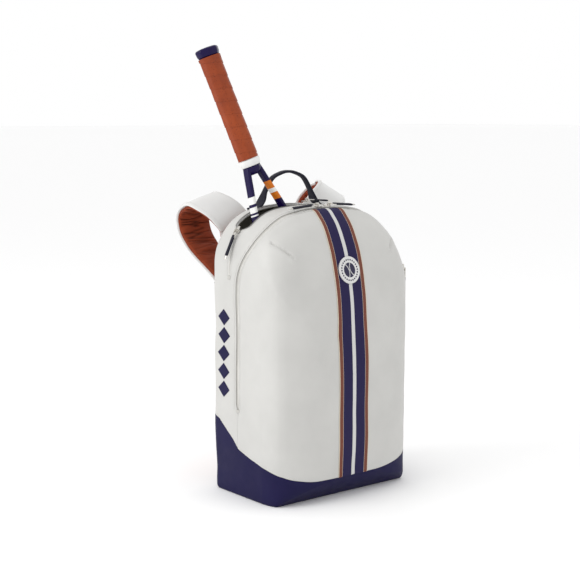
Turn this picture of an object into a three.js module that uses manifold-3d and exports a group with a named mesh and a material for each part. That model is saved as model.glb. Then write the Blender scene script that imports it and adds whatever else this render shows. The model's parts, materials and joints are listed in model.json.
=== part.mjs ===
// A racket backpack with a tennis racket in its rear compartment.
// Millimetres, +Z up, front towards -Y, origin on the floor under the middle of the bag's base.
import * as THREE from "three";
import { mergeVertices } from "three/addons/utils/BufferGeometryUtils.js";
import Module from "manifold-3d";

const wasm = await Module();
wasm.setup();

// ---- Driving dimensions ----
const HALF_WIDTH = 140; // bag, at its widest
const HEIGHT = 452; // top of the crown
const CORNER_R = 90; // arch corners, seen from the front
const CROWN_R = 400; // the gently curved top
const PIVOT = 0.6; // share of the height the arch is squashed towards where the front rounds over
const FLOOR_CORNER_R = 4;
const FLOOR_CORNER_GROWTH = 0.3; // the floor's corners open up by this share of the side inset
const FLOOR_TAPER = 0.015; // how far the sides lean in towards the floor
const TAPER_FROM_Z = 110;
const BACK_Y = 88; // outside of the rear frame, where the back panel sits
const WALL = 3; // fabric, foam and lining together
const GAP = 0.3; // between touching pieces
const MAIN_ZIP_SIDE_Y = 22; // depth of the main zip on the sides
const MAIN_ZIP_TOP_Y = -20; // and over the top, where it runs further forward
const MAIN_ZIP_END_Z = 137;
const MAIN_ZIP_BEND_Z = [330, 438]; // it runs forward between these heights
const RACKET_ZIP_Y = 41.5;
const MOUTH_HALF = 16.5; // half the width of the open racket mouth
const STRIPE_WIDTH = 58;
const BADGE_R = 20.5;
const BADGE_Z = 356;
const HANDLE_Y = 72;
const HANDLE_FOOT_X = 57;
const HANDLE_RISE = 48;
const STRAP_WIDTH = 64;
const STRAP_PAD = 7; // white outer pad
const STRAP_LINING = 3; // clay lining under it
const RACKET_LENGTH = 685;
const RACKET_BUTT = new THREE.Vector3(-139.3, 100, 695.2);
const RACKET_RIM = new THREE.Vector3(-67.1, 42, 453.3); // where its axis leaves the bag

// Insets of the outline at each depth: the front rounds over like a dome, the back has a small edge.
// y, side, top, bottom
const DEPTHS = [
  [88, 9, 9, 5],
  [85, 4, 4, 2],
  [78, 0.5, 0.5, 0],
  [46, 0, 0, 0],
  [22, 0, 0, 0],
  [0, 0, 0.5, 0],
  [-15, 0, 1.5, 0],
  [-27, 0, 5, 0],
  [-38, 0, 14, 0],
  [-49, 1.5, 25.5, 0],
  [-56, 3, 36.5, 0],
  [-62, 5, 48.5, 0],
  [-71, 11, 70.5, 8],
  [-78, 21, 94, 15],
  [-83, 34, 117, 21],
  [-86.5, 47, 142, 26],
  [-89.5, 64, 185, 31],
  [-92, 88, 232, 37],
];
const DOME_TIP = [0, -93.5, 150];

const COLOURS = {
  white: [0.86, 0.86, 0.84, 0.55],
  navy: [0.03, 0.03, 0.11, 0.5],
  navyWeb: [0.04, 0.05, 0.1, 0.8],
  clay: [0.45, 0.13, 0.05, 0.8],
  stripe: [0.05, 0.045, 0.16, 0.6],
  metal: [0.6, 0.58, 0.53, 0.3, 1],
  black: [0.02, 0.02, 0.02, 0.4],
  grip: [0.55, 0.2, 0.07, 0.6],
  frame: [0.06, 0.02, 0.2, 0.25],
  rubber: [0.85, 0.86, 0.85, 0.6],
  string: [0.9, 0.9, 0.85, 0.4],
  lining: [0.25, 0.24, 0.2, 0.8],
};

const group = new THREE.Group();

function add(name, geometry, colour) {
  const [r, g, b, roughness, metalness = 0] = COLOURS[colour];
  const material = new THREE.MeshStandardMaterial({ color: new THREE.Color(r, g, b), roughness, metalness });
  const mesh = new THREE.Mesh(geometry, material);
  mesh.name = name;
  group.add(mesh);
  return mesh;
}

// ---- Solids ----
function toSolid(geometry) {
  const bare = geometry.index ? geometry.toNonIndexed() : geometry.clone();
  bare.deleteAttribute("normal");
  bare.deleteAttribute("uv");
  const merged = mergeVertices(bare, 1e-4);
  const solid = new wasm.Manifold(
    new wasm.Mesh({
      numProp: 3,
      vertProperties: merged.attributes.position.array,
      triVerts: new Uint32Array(merged.index.array),
    }),
  );
  return solid;
}

function toGeometry(solid) {
  const mesh = solid.getMesh();
  const positions = new Float32Array(mesh.numVert * 3);
  for (let i = 0; i < mesh.numVert; i++)
    positions.set(mesh.vertProperties.subarray(i * mesh.numProp, i * mesh.numProp + 3), i * 3);
  return new THREE.BufferGeometry()
    .setAttribute("position", new THREE.BufferAttribute(positions, 3))
    .setIndex(new THREE.BufferAttribute(new Uint32Array(mesh.triVerts), 1));
}

const largest = (solid) => solid.decompose().reduce((a, b) => (a.volume() > b.volume() ? a : b));

function box(x0, x1, y0, y1, z0, z1) {
  const made = new THREE.BoxGeometry(x1 - x0, y1 - y0, z1 - z0);
  return made.translate((x0 + x1) / 2, (y0 + y1) / 2, (z0 + z1) / 2);
}

const boxSolid = (...limits) => toSolid(box(...limits));

// Joins rings of equally many points into one closed skin. A closed loop of rings needs no end caps.
function loft(rings, looped = false) {
  const count = rings[0].length;
  const points = rings.flat();
  const faces = [];
  const last = looped ? rings.length : rings.length - 1;
  for (let i = 0; i < last; i++) {
    const here = i * count;
    const next = ((i + 1) % rings.length) * count;
    for (let k = 0; k < count; k++) {
      const m = (k + 1) % count;
      faces.push(here + k, here + m, next + m, here + k, next + m, next + k);
    }
  }
  if (!looped) {
    for (const [start, turn] of [[0, false], [(rings.length - 1) * count, true]]) {
      const middle = new THREE.Vector3();
      for (let k = 0; k < count; k++) middle.addScaledVector(points[start + k], 1 / count);
      const hub = points.push(middle) - 1;
      for (let k = 0; k < count; k++) {
        const m = (k + 1) % count;
        if (turn) faces.push(hub, start + k, start + m);
        else faces.push(hub, start + m, start + k);
      }
    }
  }
  const geometry = new THREE.BufferGeometry().setFromPoints(points).setIndex(faces);
  let volume = 0;
  for (let i = 0; i < faces.length; i += 3) {
    const [a, b, c] = [points[faces[i]], points[faces[i + 1]], points[faces[i + 2]]];
    volume += a.dot(b.clone().cross(c));
  }
  if (volume < 0) geometry.setIndex(faces.reverse());
  return geometry;
}

// A flat or padded band: each station has a centre, a unit width direction and a unit normal.
function band(stations, width, thickness, lift = 0, crown = 0) {
  const rings = stations.map(({ centre, across, normal, scale = 1 }) => {
    const half = (width * scale) / 2;
    const at = (u, v) => centre.clone().addScaledVector(across, u).addScaledVector(normal, v + lift);
    const low = -thickness / 2;
    const high = thickness / 2;
    if (!crown) return [at(-half, low), at(half, low), at(half, high), at(-half, high)];
    const inner = half - crown;
    return [
      at(-inner, low),
      at(inner, low),
      at(half, 0),
      at(inner, high),
      at(-inner, high),
      at(-half, 0),
    ];
  });
  return loft(rings);
}

// ---- The bag's outline ----
const smooth = (a, b, t) => {
  const k = Math.min(1, Math.max(0, (t - a) / (b - a)));
  return k * k * (3 - 2 * k);
};

function insetsAt(y) {
  for (let i = 1; i < DEPTHS.length; i++) {
    const [y0, s0, t0, b0] = DEPTHS[i - 1];
    const [y1, s1, t1, b1] = DEPTHS[i];
    if (y <= y0 && y >= y1) {
      const k = (y0 - y) / (y0 - y1);
      return { side: s0 + k * (s1 - s0), top: t0 + k * (t1 - t0), bottom: b0 + k * (b1 - b0) };
    }
  }
  throw new Error("depth outside the bag: " + y);
}

// The arch of the bag at some inset, as a path measured from the middle of the crown; right is positive.
// A lowered top squashes the arch towards PIVOT of its height, so the sides stay full.
function arch({ side = 0, top = 0 } = {}) {
  const a = HALF_WIDTH - side;
  const r = (CORNER_R * a) / HALF_WIDTH;
  const tilt = Math.asin((a - r) / (CROWN_R - r));
  const crownZ = HEIGHT - CROWN_R;
  const cornerX = a - r;
  const highCornerZ = crownZ + (CROWN_R - r) * Math.cos(tilt);
  const crownLength = CROWN_R * tilt;
  const toSide = crownLength + r * (Math.PI / 2 - tilt);
  const fixedZ = PIVOT * (HEIGHT - top);
  const squash = (HEIGHT - top - fixedZ) / (HEIGHT - fixedZ);
  const lower = (z) => fixedZ + (z - fixedZ) * squash;
  const cornerZ = lower(highCornerZ);
  const point = (x, z, nx, nz) => {
    const n = new THREE.Vector2(nx * squash, nz).normalize();
    return { x, z: lower(z), nx: n.x, nz: n.y };
  };
  const at = (u) => {
    const sign = Math.sign(u) || 1;
    const s = Math.abs(u);
    if (s > toSide) return { x: sign * a, z: cornerZ - (s - toSide), nx: sign, nz: 0 };
    if (s <= crownLength) {
      const n = [sign * Math.sin(s / CROWN_R), Math.cos(s / CROWN_R)];
      return point(CROWN_R * n[0], crownZ + CROWN_R * n[1], ...n);
    }
    const angle = tilt + (s - crownLength) / r;
    const n = [sign * Math.sin(angle), Math.cos(angle)];
    return point(sign * cornerX + r * n[0], highCornerZ + r * n[1], ...n);
  };
  return { at, a, cornerZ, tilt, toSide };
}

// The sides lean in a little towards the floor.
const taper = (z) => (z < TAPER_FROM_Z ? 1 - FLOOR_TAPER * (1 - z / TAPER_FROM_Z) ** 2 : 1);

function outlineRing(y, { side, top, bottom }) {
  const path = arch({ side, top });
  const rb = FLOOR_CORNER_R + FLOOR_CORNER_GROWTH * side;
  const low = bottom;
  const half = [];
  const flat = path.a - rb;
  for (let i = 0; i < 4; i++) half.push([(flat * i) / 4, low]);
  for (let i = 0; i < 4; i++) {
    const angle = (i / 4) * (Math.PI / 2);
    half.push([flat + rb * Math.sin(angle), low + rb * (1 - Math.cos(angle))]);
  }
  const sideSteps = 7;
  for (let i = 0; i < sideSteps; i++)
    half.push([path.a, low + rb + ((path.cornerZ - low - rb) * i) / sideSteps]);
  const cornerSteps = 9;
  const crownSteps = 4;
  const crownU = CROWN_R * path.tilt;
  for (let i = 0; i < cornerSteps; i++) {
    const p = path.at(path.toSide - ((path.toSide - crownU) * i) / cornerSteps);
    half.push([p.x, p.z]);
  }
  for (let i = 0; i < crownSteps; i++) {
    const p = path.at(crownU * (1 - i / crownSteps));
    half.push([p.x, p.z]);
  }
  const crown = path.at(0);
  const left = half.slice(1).reverse().map(([x, z]) => [-x, z]);
  return [...half, [0, crown.z], ...left].map(([x, z]) => new THREE.Vector3(x * taper(z), y, z));
}

// The whole bag as one solid, shrunk by `shrink` all round. Its front and back move inwards with it.
const BACK_FROM_Y = 62;
const FRONT_FROM_Y = -20;
function bagSolid(shrink) {
  const rings = DEPTHS.map(([y, side, top, bottom]) => {
    const k = y > BACK_FROM_Y ? -1 : y < FRONT_FROM_Y ? 1 : 0;
    return outlineRing(y + k * shrink, {
      side: side + shrink,
      top: top + shrink,
      bottom: bottom + shrink,
    });
  });
  const tip = new THREE.Vector3(DOME_TIP[0], DOME_TIP[1] + shrink, DOME_TIP[2]);
  const lastRing = rings[rings.length - 1];
  rings.push(lastRing.map((p) => p.clone().lerp(tip, 0.98)));
  return toSolid(loft(rings));
}

// Depth of the main zip at a height: it runs forward over the arch.
const mainZipY = (z) =>
  MAIN_ZIP_SIDE_Y + (MAIN_ZIP_TOP_Y - MAIN_ZIP_SIDE_Y) * smooth(...MAIN_ZIP_BEND_Z, z);

// Height of the boot's upper edge at each depth: low in front, rising along the sides to the back.
const BOOT_EDGE = [
  [-110, 33],
  [-93, 34],
  [-90, 36],
  [-86, 40],
  [-80, 44],
  [-74, 48],
  [-60, 53],
  [-50, 56],
  [-10, 66],
  [20, 76],
  [34, 90],
  [70, 117],
  [92, 123],
  [110, 123],
];

// Everything across the whole bag inside a closed outline drawn in the YZ plane.
const SLAB_HALF = 200;
function slabAcross(outline) {
  const shape = new THREE.Shape(outline.map(([y, z]) => new THREE.Vector2(y, z)));
  const slab = new THREE.ExtrudeGeometry(shape, { depth: 2 * SLAB_HALF, bevelEnabled: false, steps: 1 });
  // Shape x is depth Y, shape y is height Z, and the extrusion runs along X.
  const turned = new THREE.Matrix4().makeBasis(
    new THREE.Vector3(0, 1, 0),
    new THREE.Vector3(0, 0, 1),
    new THREE.Vector3(1, 0, 0),
  );
  return toSolid(slab.applyMatrix4(turned).translate(-SLAB_HALF, 0, 0));
}

// The room between the boot's edge, moved up by `offset`, and a level `edgeZ` above or below it.
function beyondBootEdge(offset, edgeZ) {
  const line = BOOT_EDGE.map(([y, z]) => [y, z + offset]);
  return slabAcross([...line, [line[line.length - 1][0], edgeZ], [line[0][0], edgeZ]]);
}

// Everything in front of the main zip's line moved back by `offset`.
const BELOW_ALL = -10;
const ABOVE_ALL = 470;
const AHEAD_OF_ALL = -130;
function frontOfZip(offset) {
  const line = [];
  for (let z = BELOW_ALL; z <= ABOVE_ALL; z += 20) line.push([mainZipY(z) + offset, z]);
  return slabAcross([...line, [AHEAD_OF_ALL, ABOVE_ALL], [AHEAD_OF_ALL, BELOW_ALL]]);
}

// ---- Bag shell: boot, front panel, zip band and gusset ----
const outer = bagSolid(0);
const inner = bagSolid(WALL);
// The back is a frame: the back panel covers the opening in it.
const BACK_HOLE = { side: 34, top: 24, bottom: 24 };
const openBack = toSolid(loft([BACK_Y - 8, BACK_Y + 8].map((y) => outlineRing(y, BACK_HOLE))));
const shell = outer.subtract(inner).subtract(openBack);
const underBoot = beyondBootEdge(-GAP / 2, BELOW_ALL);
const aboveBoot = beyondBootEdge(GAP / 2, ABOVE_ALL);
const TAPE_HALF = 5;
function tapeRegion(grow) {
  return frontOfZip(TAPE_HALF + grow)
    .subtract(frontOfZip(-TAPE_HALF - grow))
    .intersect(boxSolid(-200, 200, -130, 130, MAIN_ZIP_END_Z - grow, 480));
}
add("boot", toGeometry(shell.intersect(underBoot)), "navy");
const upper = shell.intersect(aboveBoot);
add("front_panel", toGeometry(largest(upper.intersect(frontOfZip(-TAPE_HALF - GAP / 2)))), "white");
add("main_zip_tape", toGeometry(largest(upper.intersect(tapeRegion(-GAP / 2)))), "white");

// The racket compartment's mouth: an open slot over the left half of the arch.
const rearArch = arch();
const MOUTH_LEFT = -(CROWN_R * rearArch.tilt + CORNER_R * 0.68);
const MOUTH_RIGHT = 6;
function archStations(from, to, y, step = 14, path = rearArch, lift = 0) {
  const steps = Math.max(1, Math.ceil(Math.abs(to - from) / step));
  const stations = [];
  for (let i = 0; i <= steps; i++) {
    const p = path.at(from + ((to - from) * i) / steps);
    stations.push({
      centre: new THREE.Vector3(p.x + p.nx * lift, y, p.z + p.nz * lift),
      across: new THREE.Vector3(0, 1, 0),
      normal: new THREE.Vector3(p.nx, 0, p.nz),
    });
  }
  return stations;
}
const mouth = toSolid(band(archStations(MOUTH_LEFT, MOUTH_RIGHT, RACKET_ZIP_Y, 9), 2 * MOUTH_HALF, 4 * WALL));
const gusset = upper
  .subtract(frontOfZip(-TAPE_HALF + GAP / 2))
  .subtract(tapeRegion(GAP / 2))
  .subtract(mouth);
add("gusset", toGeometry(largest(gusset)), "white");

// ---- Inside: base board, divider and laptop sleeve ----
const cavity = bagSolid(WALL + 1);
const board = cavity.intersect(boxSolid(-126, 126, -58, 80, 0, WALL + 3.5));
add("base_board", toGeometry(board), "lining");

const racketUp = RACKET_BUTT.clone().sub(RACKET_RIM).normalize();
const racketAcross = new THREE.Vector3(1, 0, 0);
racketAcross.addScaledVector(racketUp, -racketAcross.dot(racketUp)).normalize();
const racketNormal = racketUp.clone().cross(racketAcross).normalize(); // towards the back
// The divider leans with the racket, in front of it.
const DIVIDER_T = 3;
const DIVIDER_AHEAD = 17;
const leanX = Math.atan2(racketUp.y, racketUp.z);
const DIVIDER_MIDDLE = 230; // below the point where the racket leaves the bag
const DIVIDER_TOP_Z = 438;
// A block as tall and wide as the bag that leans with the divider; its front is `start` behind the
// divider's middle.
function leaningSlab(thickness, start) {
  const slab = new THREE.BoxGeometry(400, thickness, 560).translate(0, start + thickness / 2, 0);
  const y = RACKET_RIM.y - DIVIDER_AHEAD - Math.tan(leanX) * DIVIDER_MIDDLE;
  return toSolid(slab.rotateX(-leanX).translate(0, y, RACKET_RIM.z - DIVIDER_MIDDLE));
}
const dividerRoom = cavity
  .intersect(boxSolid(-200, 200, -130, 100, WALL + 4.5, DIVIDER_TOP_Z))
  .intersect(leaningSlab(DIVIDER_T, -DIVIDER_T / 2));
add("divider", toGeometry(largest(dividerRoom)), "lining");
const SLEEVE_HALF_WIDTH = 112;
const SLEEVE_Z = [14, 300];
add("laptop_sleeve", box(-SLEEVE_HALF_WIDTH, SLEEVE_HALF_WIDTH, 72, 75, ...SLEEVE_Z), "lining");

// A padded sling across the compartment holds the racket's tip off the base.
const SLING_TOP = 51.4;
const sling = cavity
  .intersect(boxSolid(8, 98, -80, 71, SLING_TOP - 3, SLING_TOP))
  .intersect(leaningSlab(200, DIVIDER_T / 2 + GAP));
add("racket_sling", toGeometry(largest(sling)), "lining");

// ---- Back panel and strap yoke ----
const PANEL_T = 9;
const PANEL_INSETS = { side: 22, top: 12, bottom: 12 };
const backPlate = outlineRing(0, PANEL_INSETS);
const plateShape = new THREE.Shape(backPlate.map((p) => new THREE.Vector2(p.x, p.z)));
const plate = new THREE.ExtrudeGeometry(plateShape, { depth: PANEL_T, bevelEnabled: false, steps: 1 });
plate.rotateX(Math.PI / 2);
add("back_panel", plate.translate(0, BACK_Y + GAP + PANEL_T, 0), "clay");
const PANEL_FACE = BACK_Y + GAP + PANEL_T;

const yokeShape = new THREE.Shape([
  new THREE.Vector2(-40, 430),
  new THREE.Vector2(-40, 382),
  new THREE.Vector2(0, 374),
  new THREE.Vector2(40, 382),
  new THREE.Vector2(40, 430),
]);
const YOKE_T = 4;
const yoke = new THREE.ExtrudeGeometry(yokeShape, { depth: YOKE_T, bevelEnabled: false, steps: 1 });
yoke.rotateX(Math.PI / 2);
add("yoke", yoke.translate(0, PANEL_FACE + GAP + YOKE_T, 0), "white");

// ---- Stripe and badge on the front ----
// The middle line of the front, from the boot's edge up and over to the main zip.
const frontLine = [[-92, 37], [-92.8, 60], [-93.4, 110], [-93.7, 165]];
for (const [y, , top] of [...DEPTHS].reverse())
  if (y <= -27) frontLine.push([y - 0.3, HEIGHT - top]);
const stripeCurve = new THREE.CatmullRomCurve3(
  frontLine.map(([y, z]) => new THREE.Vector3(0, y, z)),
  false,
  "centripetal",
);
const stripeStations = [];
for (let i = 0; i <= 26; i++) {
  const tangent = stripeCurve.getTangentAt(i / 26);
  stripeStations.push({
    centre: stripeCurve.getPointAt(i / 26),
    across: new THREE.Vector3(1, 0, 0),
    normal: new THREE.Vector3(0, -tangent.z, tangent.y),
  });
}
const clearOfBag = bagSolid(-GAP);
const stripe = toSolid(band(stripeStations, STRIPE_WIDTH, 3.4)).subtract(clearOfBag);
add("front_stripe", toGeometry(largest(stripe)), "stripe");

const BADGE_LEAN = 0.26; // the front leans back by this much at the badge
const BADGE_Y = -81;
const badgeDisc = new THREE.CylinderGeometry(BADGE_R, BADGE_R, 3.4, 32);
badgeDisc.rotateX(-BADGE_LEAN);
badgeDisc.translate(0, BADGE_Y, BADGE_Z);
const clearOfStripe = toSolid(band(stripeStations, STRIPE_WIDTH, 4));
const badge = toSolid(badgeDisc).subtract(clearOfBag).subtract(clearOfStripe);
add("badge", toGeometry(largest(badge)), "rubber");

// ---- Zips ----
// A run of coil over the arch, from one arc length to another, at a depth given by height.
const COIL_W = 6;
const COIL_T = 1.4;
const COIL_LIFT = 2 * GAP;
function pointOnBag(u, y) {
  const base = arch();
  const path = arch(insetsAt(y));
  const s = Math.abs(u);
  const onSide = s > base.toSide;
  const length = onSide
    ? path.toSide + path.cornerZ - (base.cornerZ - (s - base.toSide))
    : (s * path.toSide) / base.toSide;
  const p = path.at(Math.sign(u) * length);
  return new THREE.Vector3(p.x, y, p.z);
}
function surfaceAt(u, depthAt) {
  const y = typeof depthAt === "function" ? depthAt(arch().at(u).z) : depthAt;
  const across = pointOnBag(u, y + 3).sub(pointOnBag(u, y - 3)).normalize();
  const along = pointOnBag(u + 1, y).sub(pointOnBag(u - 1, y)).normalize();
  return { centre: pointOnBag(u, y), across, normal: along.cross(across).normalize() };
}
const lengthAtHeight = (z) => arch().toSide + arch().cornerZ - z;

function coil(name, from, to, depthAt, width = COIL_W, colour = "lining") {
  const stations = [];
  const steps = Math.ceil(Math.abs(to - from) / 13);
  for (let i = 0; i <= steps; i++) stations.push(surfaceAt(from + ((to - from) * i) / steps, depthAt));
  add(name, band(stations, width, COIL_T, COIL_T / 2 + COIL_LIFT), colour);
}

const MAIN_END_U = lengthAtHeight(MAIN_ZIP_END_Z + 3);
coil("main_zip_coil", -MAIN_END_U, MAIN_END_U, mainZipY, COIL_W, "rubber");
const RACKET_END_U = lengthAtHeight(348);
coil("racket_zip_coil_left", -RACKET_END_U, MOUTH_LEFT - 4, RACKET_ZIP_Y, COIL_W, "rubber");
coil("racket_zip_coil_right", MOUTH_RIGHT + 4, RACKET_END_U, RACKET_ZIP_Y, COIL_W, "rubber");
for (const [side, way] of [["front", -1], ["back", 1]]) {
  const depth = RACKET_ZIP_Y + way * (MOUTH_HALF + 2);
  coil("racket_zip_teeth_" + side, MOUTH_LEFT - 4, MOUTH_RIGHT + 4, depth, 3);
}

// Small stitched tabs that close each zip's ends.
function endTab(name, u, depthAt, colour) {
  const { centre, across, normal } = surfaceAt(u, depthAt);
  const along = across.clone().cross(normal);
  const basis = new THREE.Matrix4().makeBasis(along, across, normal);
  const tab = new THREE.BoxGeometry(5, 9, 2.4).translate(0, 0, 1.2 + COIL_LIFT);
  add(name, tab.applyMatrix4(basis.setPosition(centre)), colour);
}
endTab("main_zip_tab_left", -MAIN_END_U - 4, mainZipY, "white");
endTab("main_zip_tab_right", MAIN_END_U + 4, mainZipY, "white");
endTab("racket_zip_tab_left", -RACKET_END_U - 4, RACKET_ZIP_Y, "white");
endTab("racket_zip_tab_right", RACKET_END_U + 4, RACKET_ZIP_Y, "white");

// A slider with its loop, a metal tongue and a fabric tab. Local x runs the way the pull points.
const PIN_HEIGHT = 4.6;
function slider(prefix, base, towards, { length, droop, colour = "metal", tabColour = "navyWeb" }) {
  const z = base.normal.clone().normalize();
  const x = towards.clone().addScaledVector(z, -towards.dot(z)).normalize();
  const y = z.clone().cross(x);
  const place = new THREE.Matrix4().makeBasis(x, y, z).setPosition(
    base.centre.clone().addScaledVector(z, COIL_T + COIL_LIFT + GAP),
  );
  const outline = new THREE.Shape([
    new THREE.Vector2(-9, -2.6),
    new THREE.Vector2(-3, -4),
    new THREE.Vector2(2, -4),
    new THREE.Vector2(3, -3),
    new THREE.Vector2(3, 3),
    new THREE.Vector2(2, 4),
    new THREE.Vector2(-3, 4),
    new THREE.Vector2(-9, 2.6),
  ]);
  const body = toSolid(new THREE.ExtrudeGeometry(outline, { depth: 2.4, bevelEnabled: false, steps: 1 }));
  const loop = boxSolid(-3, 3, -1.2, 1.2, 2.2, 6.8).subtract(boxSolid(-1.8, 1.8, -3, 3, 2.4, 5.8));
  add(prefix + "_slider", toGeometry(body.add(loop)).applyMatrix4(place), colour);

  const tilt = new THREE.Matrix4()
    .makeTranslation(0, 0, PIN_HEIGHT)
    .multiply(new THREE.Matrix4().makeRotationY(droop));
  const tongue = boxSolid(-0.7, 13, -3.4, 3.4, -0.6, 0.6).subtract(boxSolid(0.7, 6, -1.8, 1.8, -2, 2));
  const hinged = place.clone().multiply(tilt);
  add(prefix + "_tongue", toGeometry(tongue).applyMatrix4(hinged), colour);
  const tab = boxSolid(8, length, -3.2, 3.2, -1.5, 1.5).subtract(boxSolid(5, 13.3, -3.7, 3.7, -0.9, 0.9));
  add(prefix + "_pull_tab", toGeometry(tab).applyMatrix4(hinged), tabColour);
}

const alongArch = (u, sign) => {
  const { nx, nz } = arch().at(u);
  return new THREE.Vector3(nz * sign, 0, -nx * sign);
};
const MAIN_SLIDER_U = 12;
for (const [side, sign] of [["left", -1], ["right", 1]])
  slider("main_" + side, surfaceAt(sign * MAIN_SLIDER_U - 4, mainZipY), alongArch(0, sign), {
    length: 56,
    droop: 0.06,
  });
slider("racket_left", surfaceAt(MOUTH_LEFT - 7, RACKET_ZIP_Y), alongArch(MOUTH_LEFT, -1), {
  length: 50,
  droop: 0.2,
});
slider("racket_right", surfaceAt(MOUTH_RIGHT + 9, RACKET_ZIP_Y), alongArch(MOUTH_RIGHT, 1), {
  length: 50,
  droop: 0.05,
});

// The right side pocket's upright zip.
const SIDE_ZIP_Y = -49;
const SIDE_SLIDER_Z = 344;
coil("side_zip_coil", lengthAtHeight(378), lengthAtHeight(150), SIDE_ZIP_Y, 5, "black");
slider("side", surfaceAt(lengthAtHeight(SIDE_SLIDER_Z), SIDE_ZIP_Y), new THREE.Vector3(0, 0, -1), {
  length: 52,
  droop: 0,
  tabColour: "black",
});

// ---- Grab handle ----
const HANDLE_T = 3.4;
const FOOT_TOP = 455; // the feet are sewn down, the rest folds back about the pivot height
const HANDLE_PIVOT_Z = 460;
const handlePoints = [
  [-HANDLE_FOOT_X - 18, -9.6],
  [-HANDLE_FOOT_X - 6, -7],
  [-HANDLE_FOOT_X + 3, 2],
  [-HANDLE_FOOT_X + 12, 20],
  [-32, 38],
  [-14, 46],
  [0, HANDLE_RISE],
];
const handleSpots = [...handlePoints, ...handlePoints.slice(0, -1).reverse().map(([x, z]) => [-x, z])];
const handleCurve = new THREE.CatmullRomCurve3(
  handleSpots.map(([x, z]) => new THREE.Vector3(x, HANDLE_Y, HEIGHT + 2.4 + z)),
  false,
  "centripetal",
);
const handleStations = [];
for (let i = 0; i <= 32; i++) {
  const tangent = handleCurve.getTangentAt(i / 32);
  const centre = handleCurve.getPointAt(i / 32);
  handleStations.push({
    centre,
    across: new THREE.Vector3(0, 1, 0),
    normal: new THREE.Vector3(-tangent.z, 0, tangent.x),
    scale: centre.z > FOOT_TOP ? 0.55 : 1,
  });
}
const handle = toSolid(band(handleStations, 19, HANDLE_T)).subtract(clearOfBag);
const handleArch = handle.intersect(boxSolid(-90, 90, 40, 100, HANDLE_PIVOT_Z, 520));
add("grab_handle", toGeometry(handleArch), "navyWeb");
const feet = handle.intersect(boxSolid(-90, 90, 40, 100, 430, FOOT_TOP)).decompose();
for (const foot of feet)
  add("handle_foot_" + (foot.boundingBox().min[0] < 0 ? "left" : "right"), toGeometry(foot), "navyWeb");

// ---- Shoulder straps ----
// Middle of each pad from its seam on the back, over and down to the adjuster, with the angle in
// degrees by which its outer edge droops. The right strap has flopped outwards, the left one loops back.
const STRAP_ROUTES = {
  left: [
    [-74, 108, 401, 0],
    [-80, 109, 422, 5],
    [-94, 116, 440, 11],
    [-106, 129, 452, 15],
    [-114, 148, 459, 16],
    [-113, 168, 453, 14],
    [-110, 184, 439, 10],
    [-106, 190, 420, 5],
    [-104, 184, 398, 0],
    [-101, 164, 374, 0],
    [-98, 139, 350, 0],
    [-94, 120, 332, 0],
  ],
  right: [
    [74, 108, 401, 0],
    [85, 108, 425, 11],
    [105, 108, 445, 19],
    [123, 111, 459, 25],
    [136, 125, 465, 27],
    [136, 145, 462, 24],
    [129, 163, 447, 16],
    [120, 170, 424, 8],
    [111, 170, 399, 0],
    [101, 155, 374, 0],
    [98, 136, 351, 0],
    [94, 120, 332, 0],
  ],
};
const LOCK = [94, 112, 318];
const ANCHOR = [104, 102, 44];
const WEBBING_MIDDLE = [100, 104, 160];

function strapStations(points, steps, narrowEnd = 1) {
  const spots = points.map(([x, y, z]) => new THREE.Vector3(x, y, z));
  const curve = new THREE.CatmullRomCurve3(spots, false, "centripetal");
  const stations = [];
  for (let i = 0; i <= steps; i++) {
    const t = i / steps;
    // The curve's own parameter runs evenly over the points, so it also reads the droop between them.
    const own = curve.getUtoTmapping(t) * (points.length - 1);
    const before = Math.min(points.length - 2, Math.floor(own));
    const [droop, next] = [points[before][3] ?? 0, points[before + 1][3] ?? 0];
    const angle = THREE.MathUtils.degToRad(droop + (own - before) * (next - droop));
    const outwards = Math.sign(points[0][0]);
    const tangent = curve.getTangentAt(t);
    const across = new THREE.Vector3(Math.cos(angle), 0, -outwards * Math.sin(angle));
    across.addScaledVector(tangent, -across.dot(tangent)).normalize();
    stations.push({
      centre: curve.getPointAt(t),
      across,
      normal: across.clone().cross(tangent),
      scale: 1 + (narrowEnd - 1) * smooth(0.72, 1, t),
    });
  }
  return stations;
}

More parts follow.
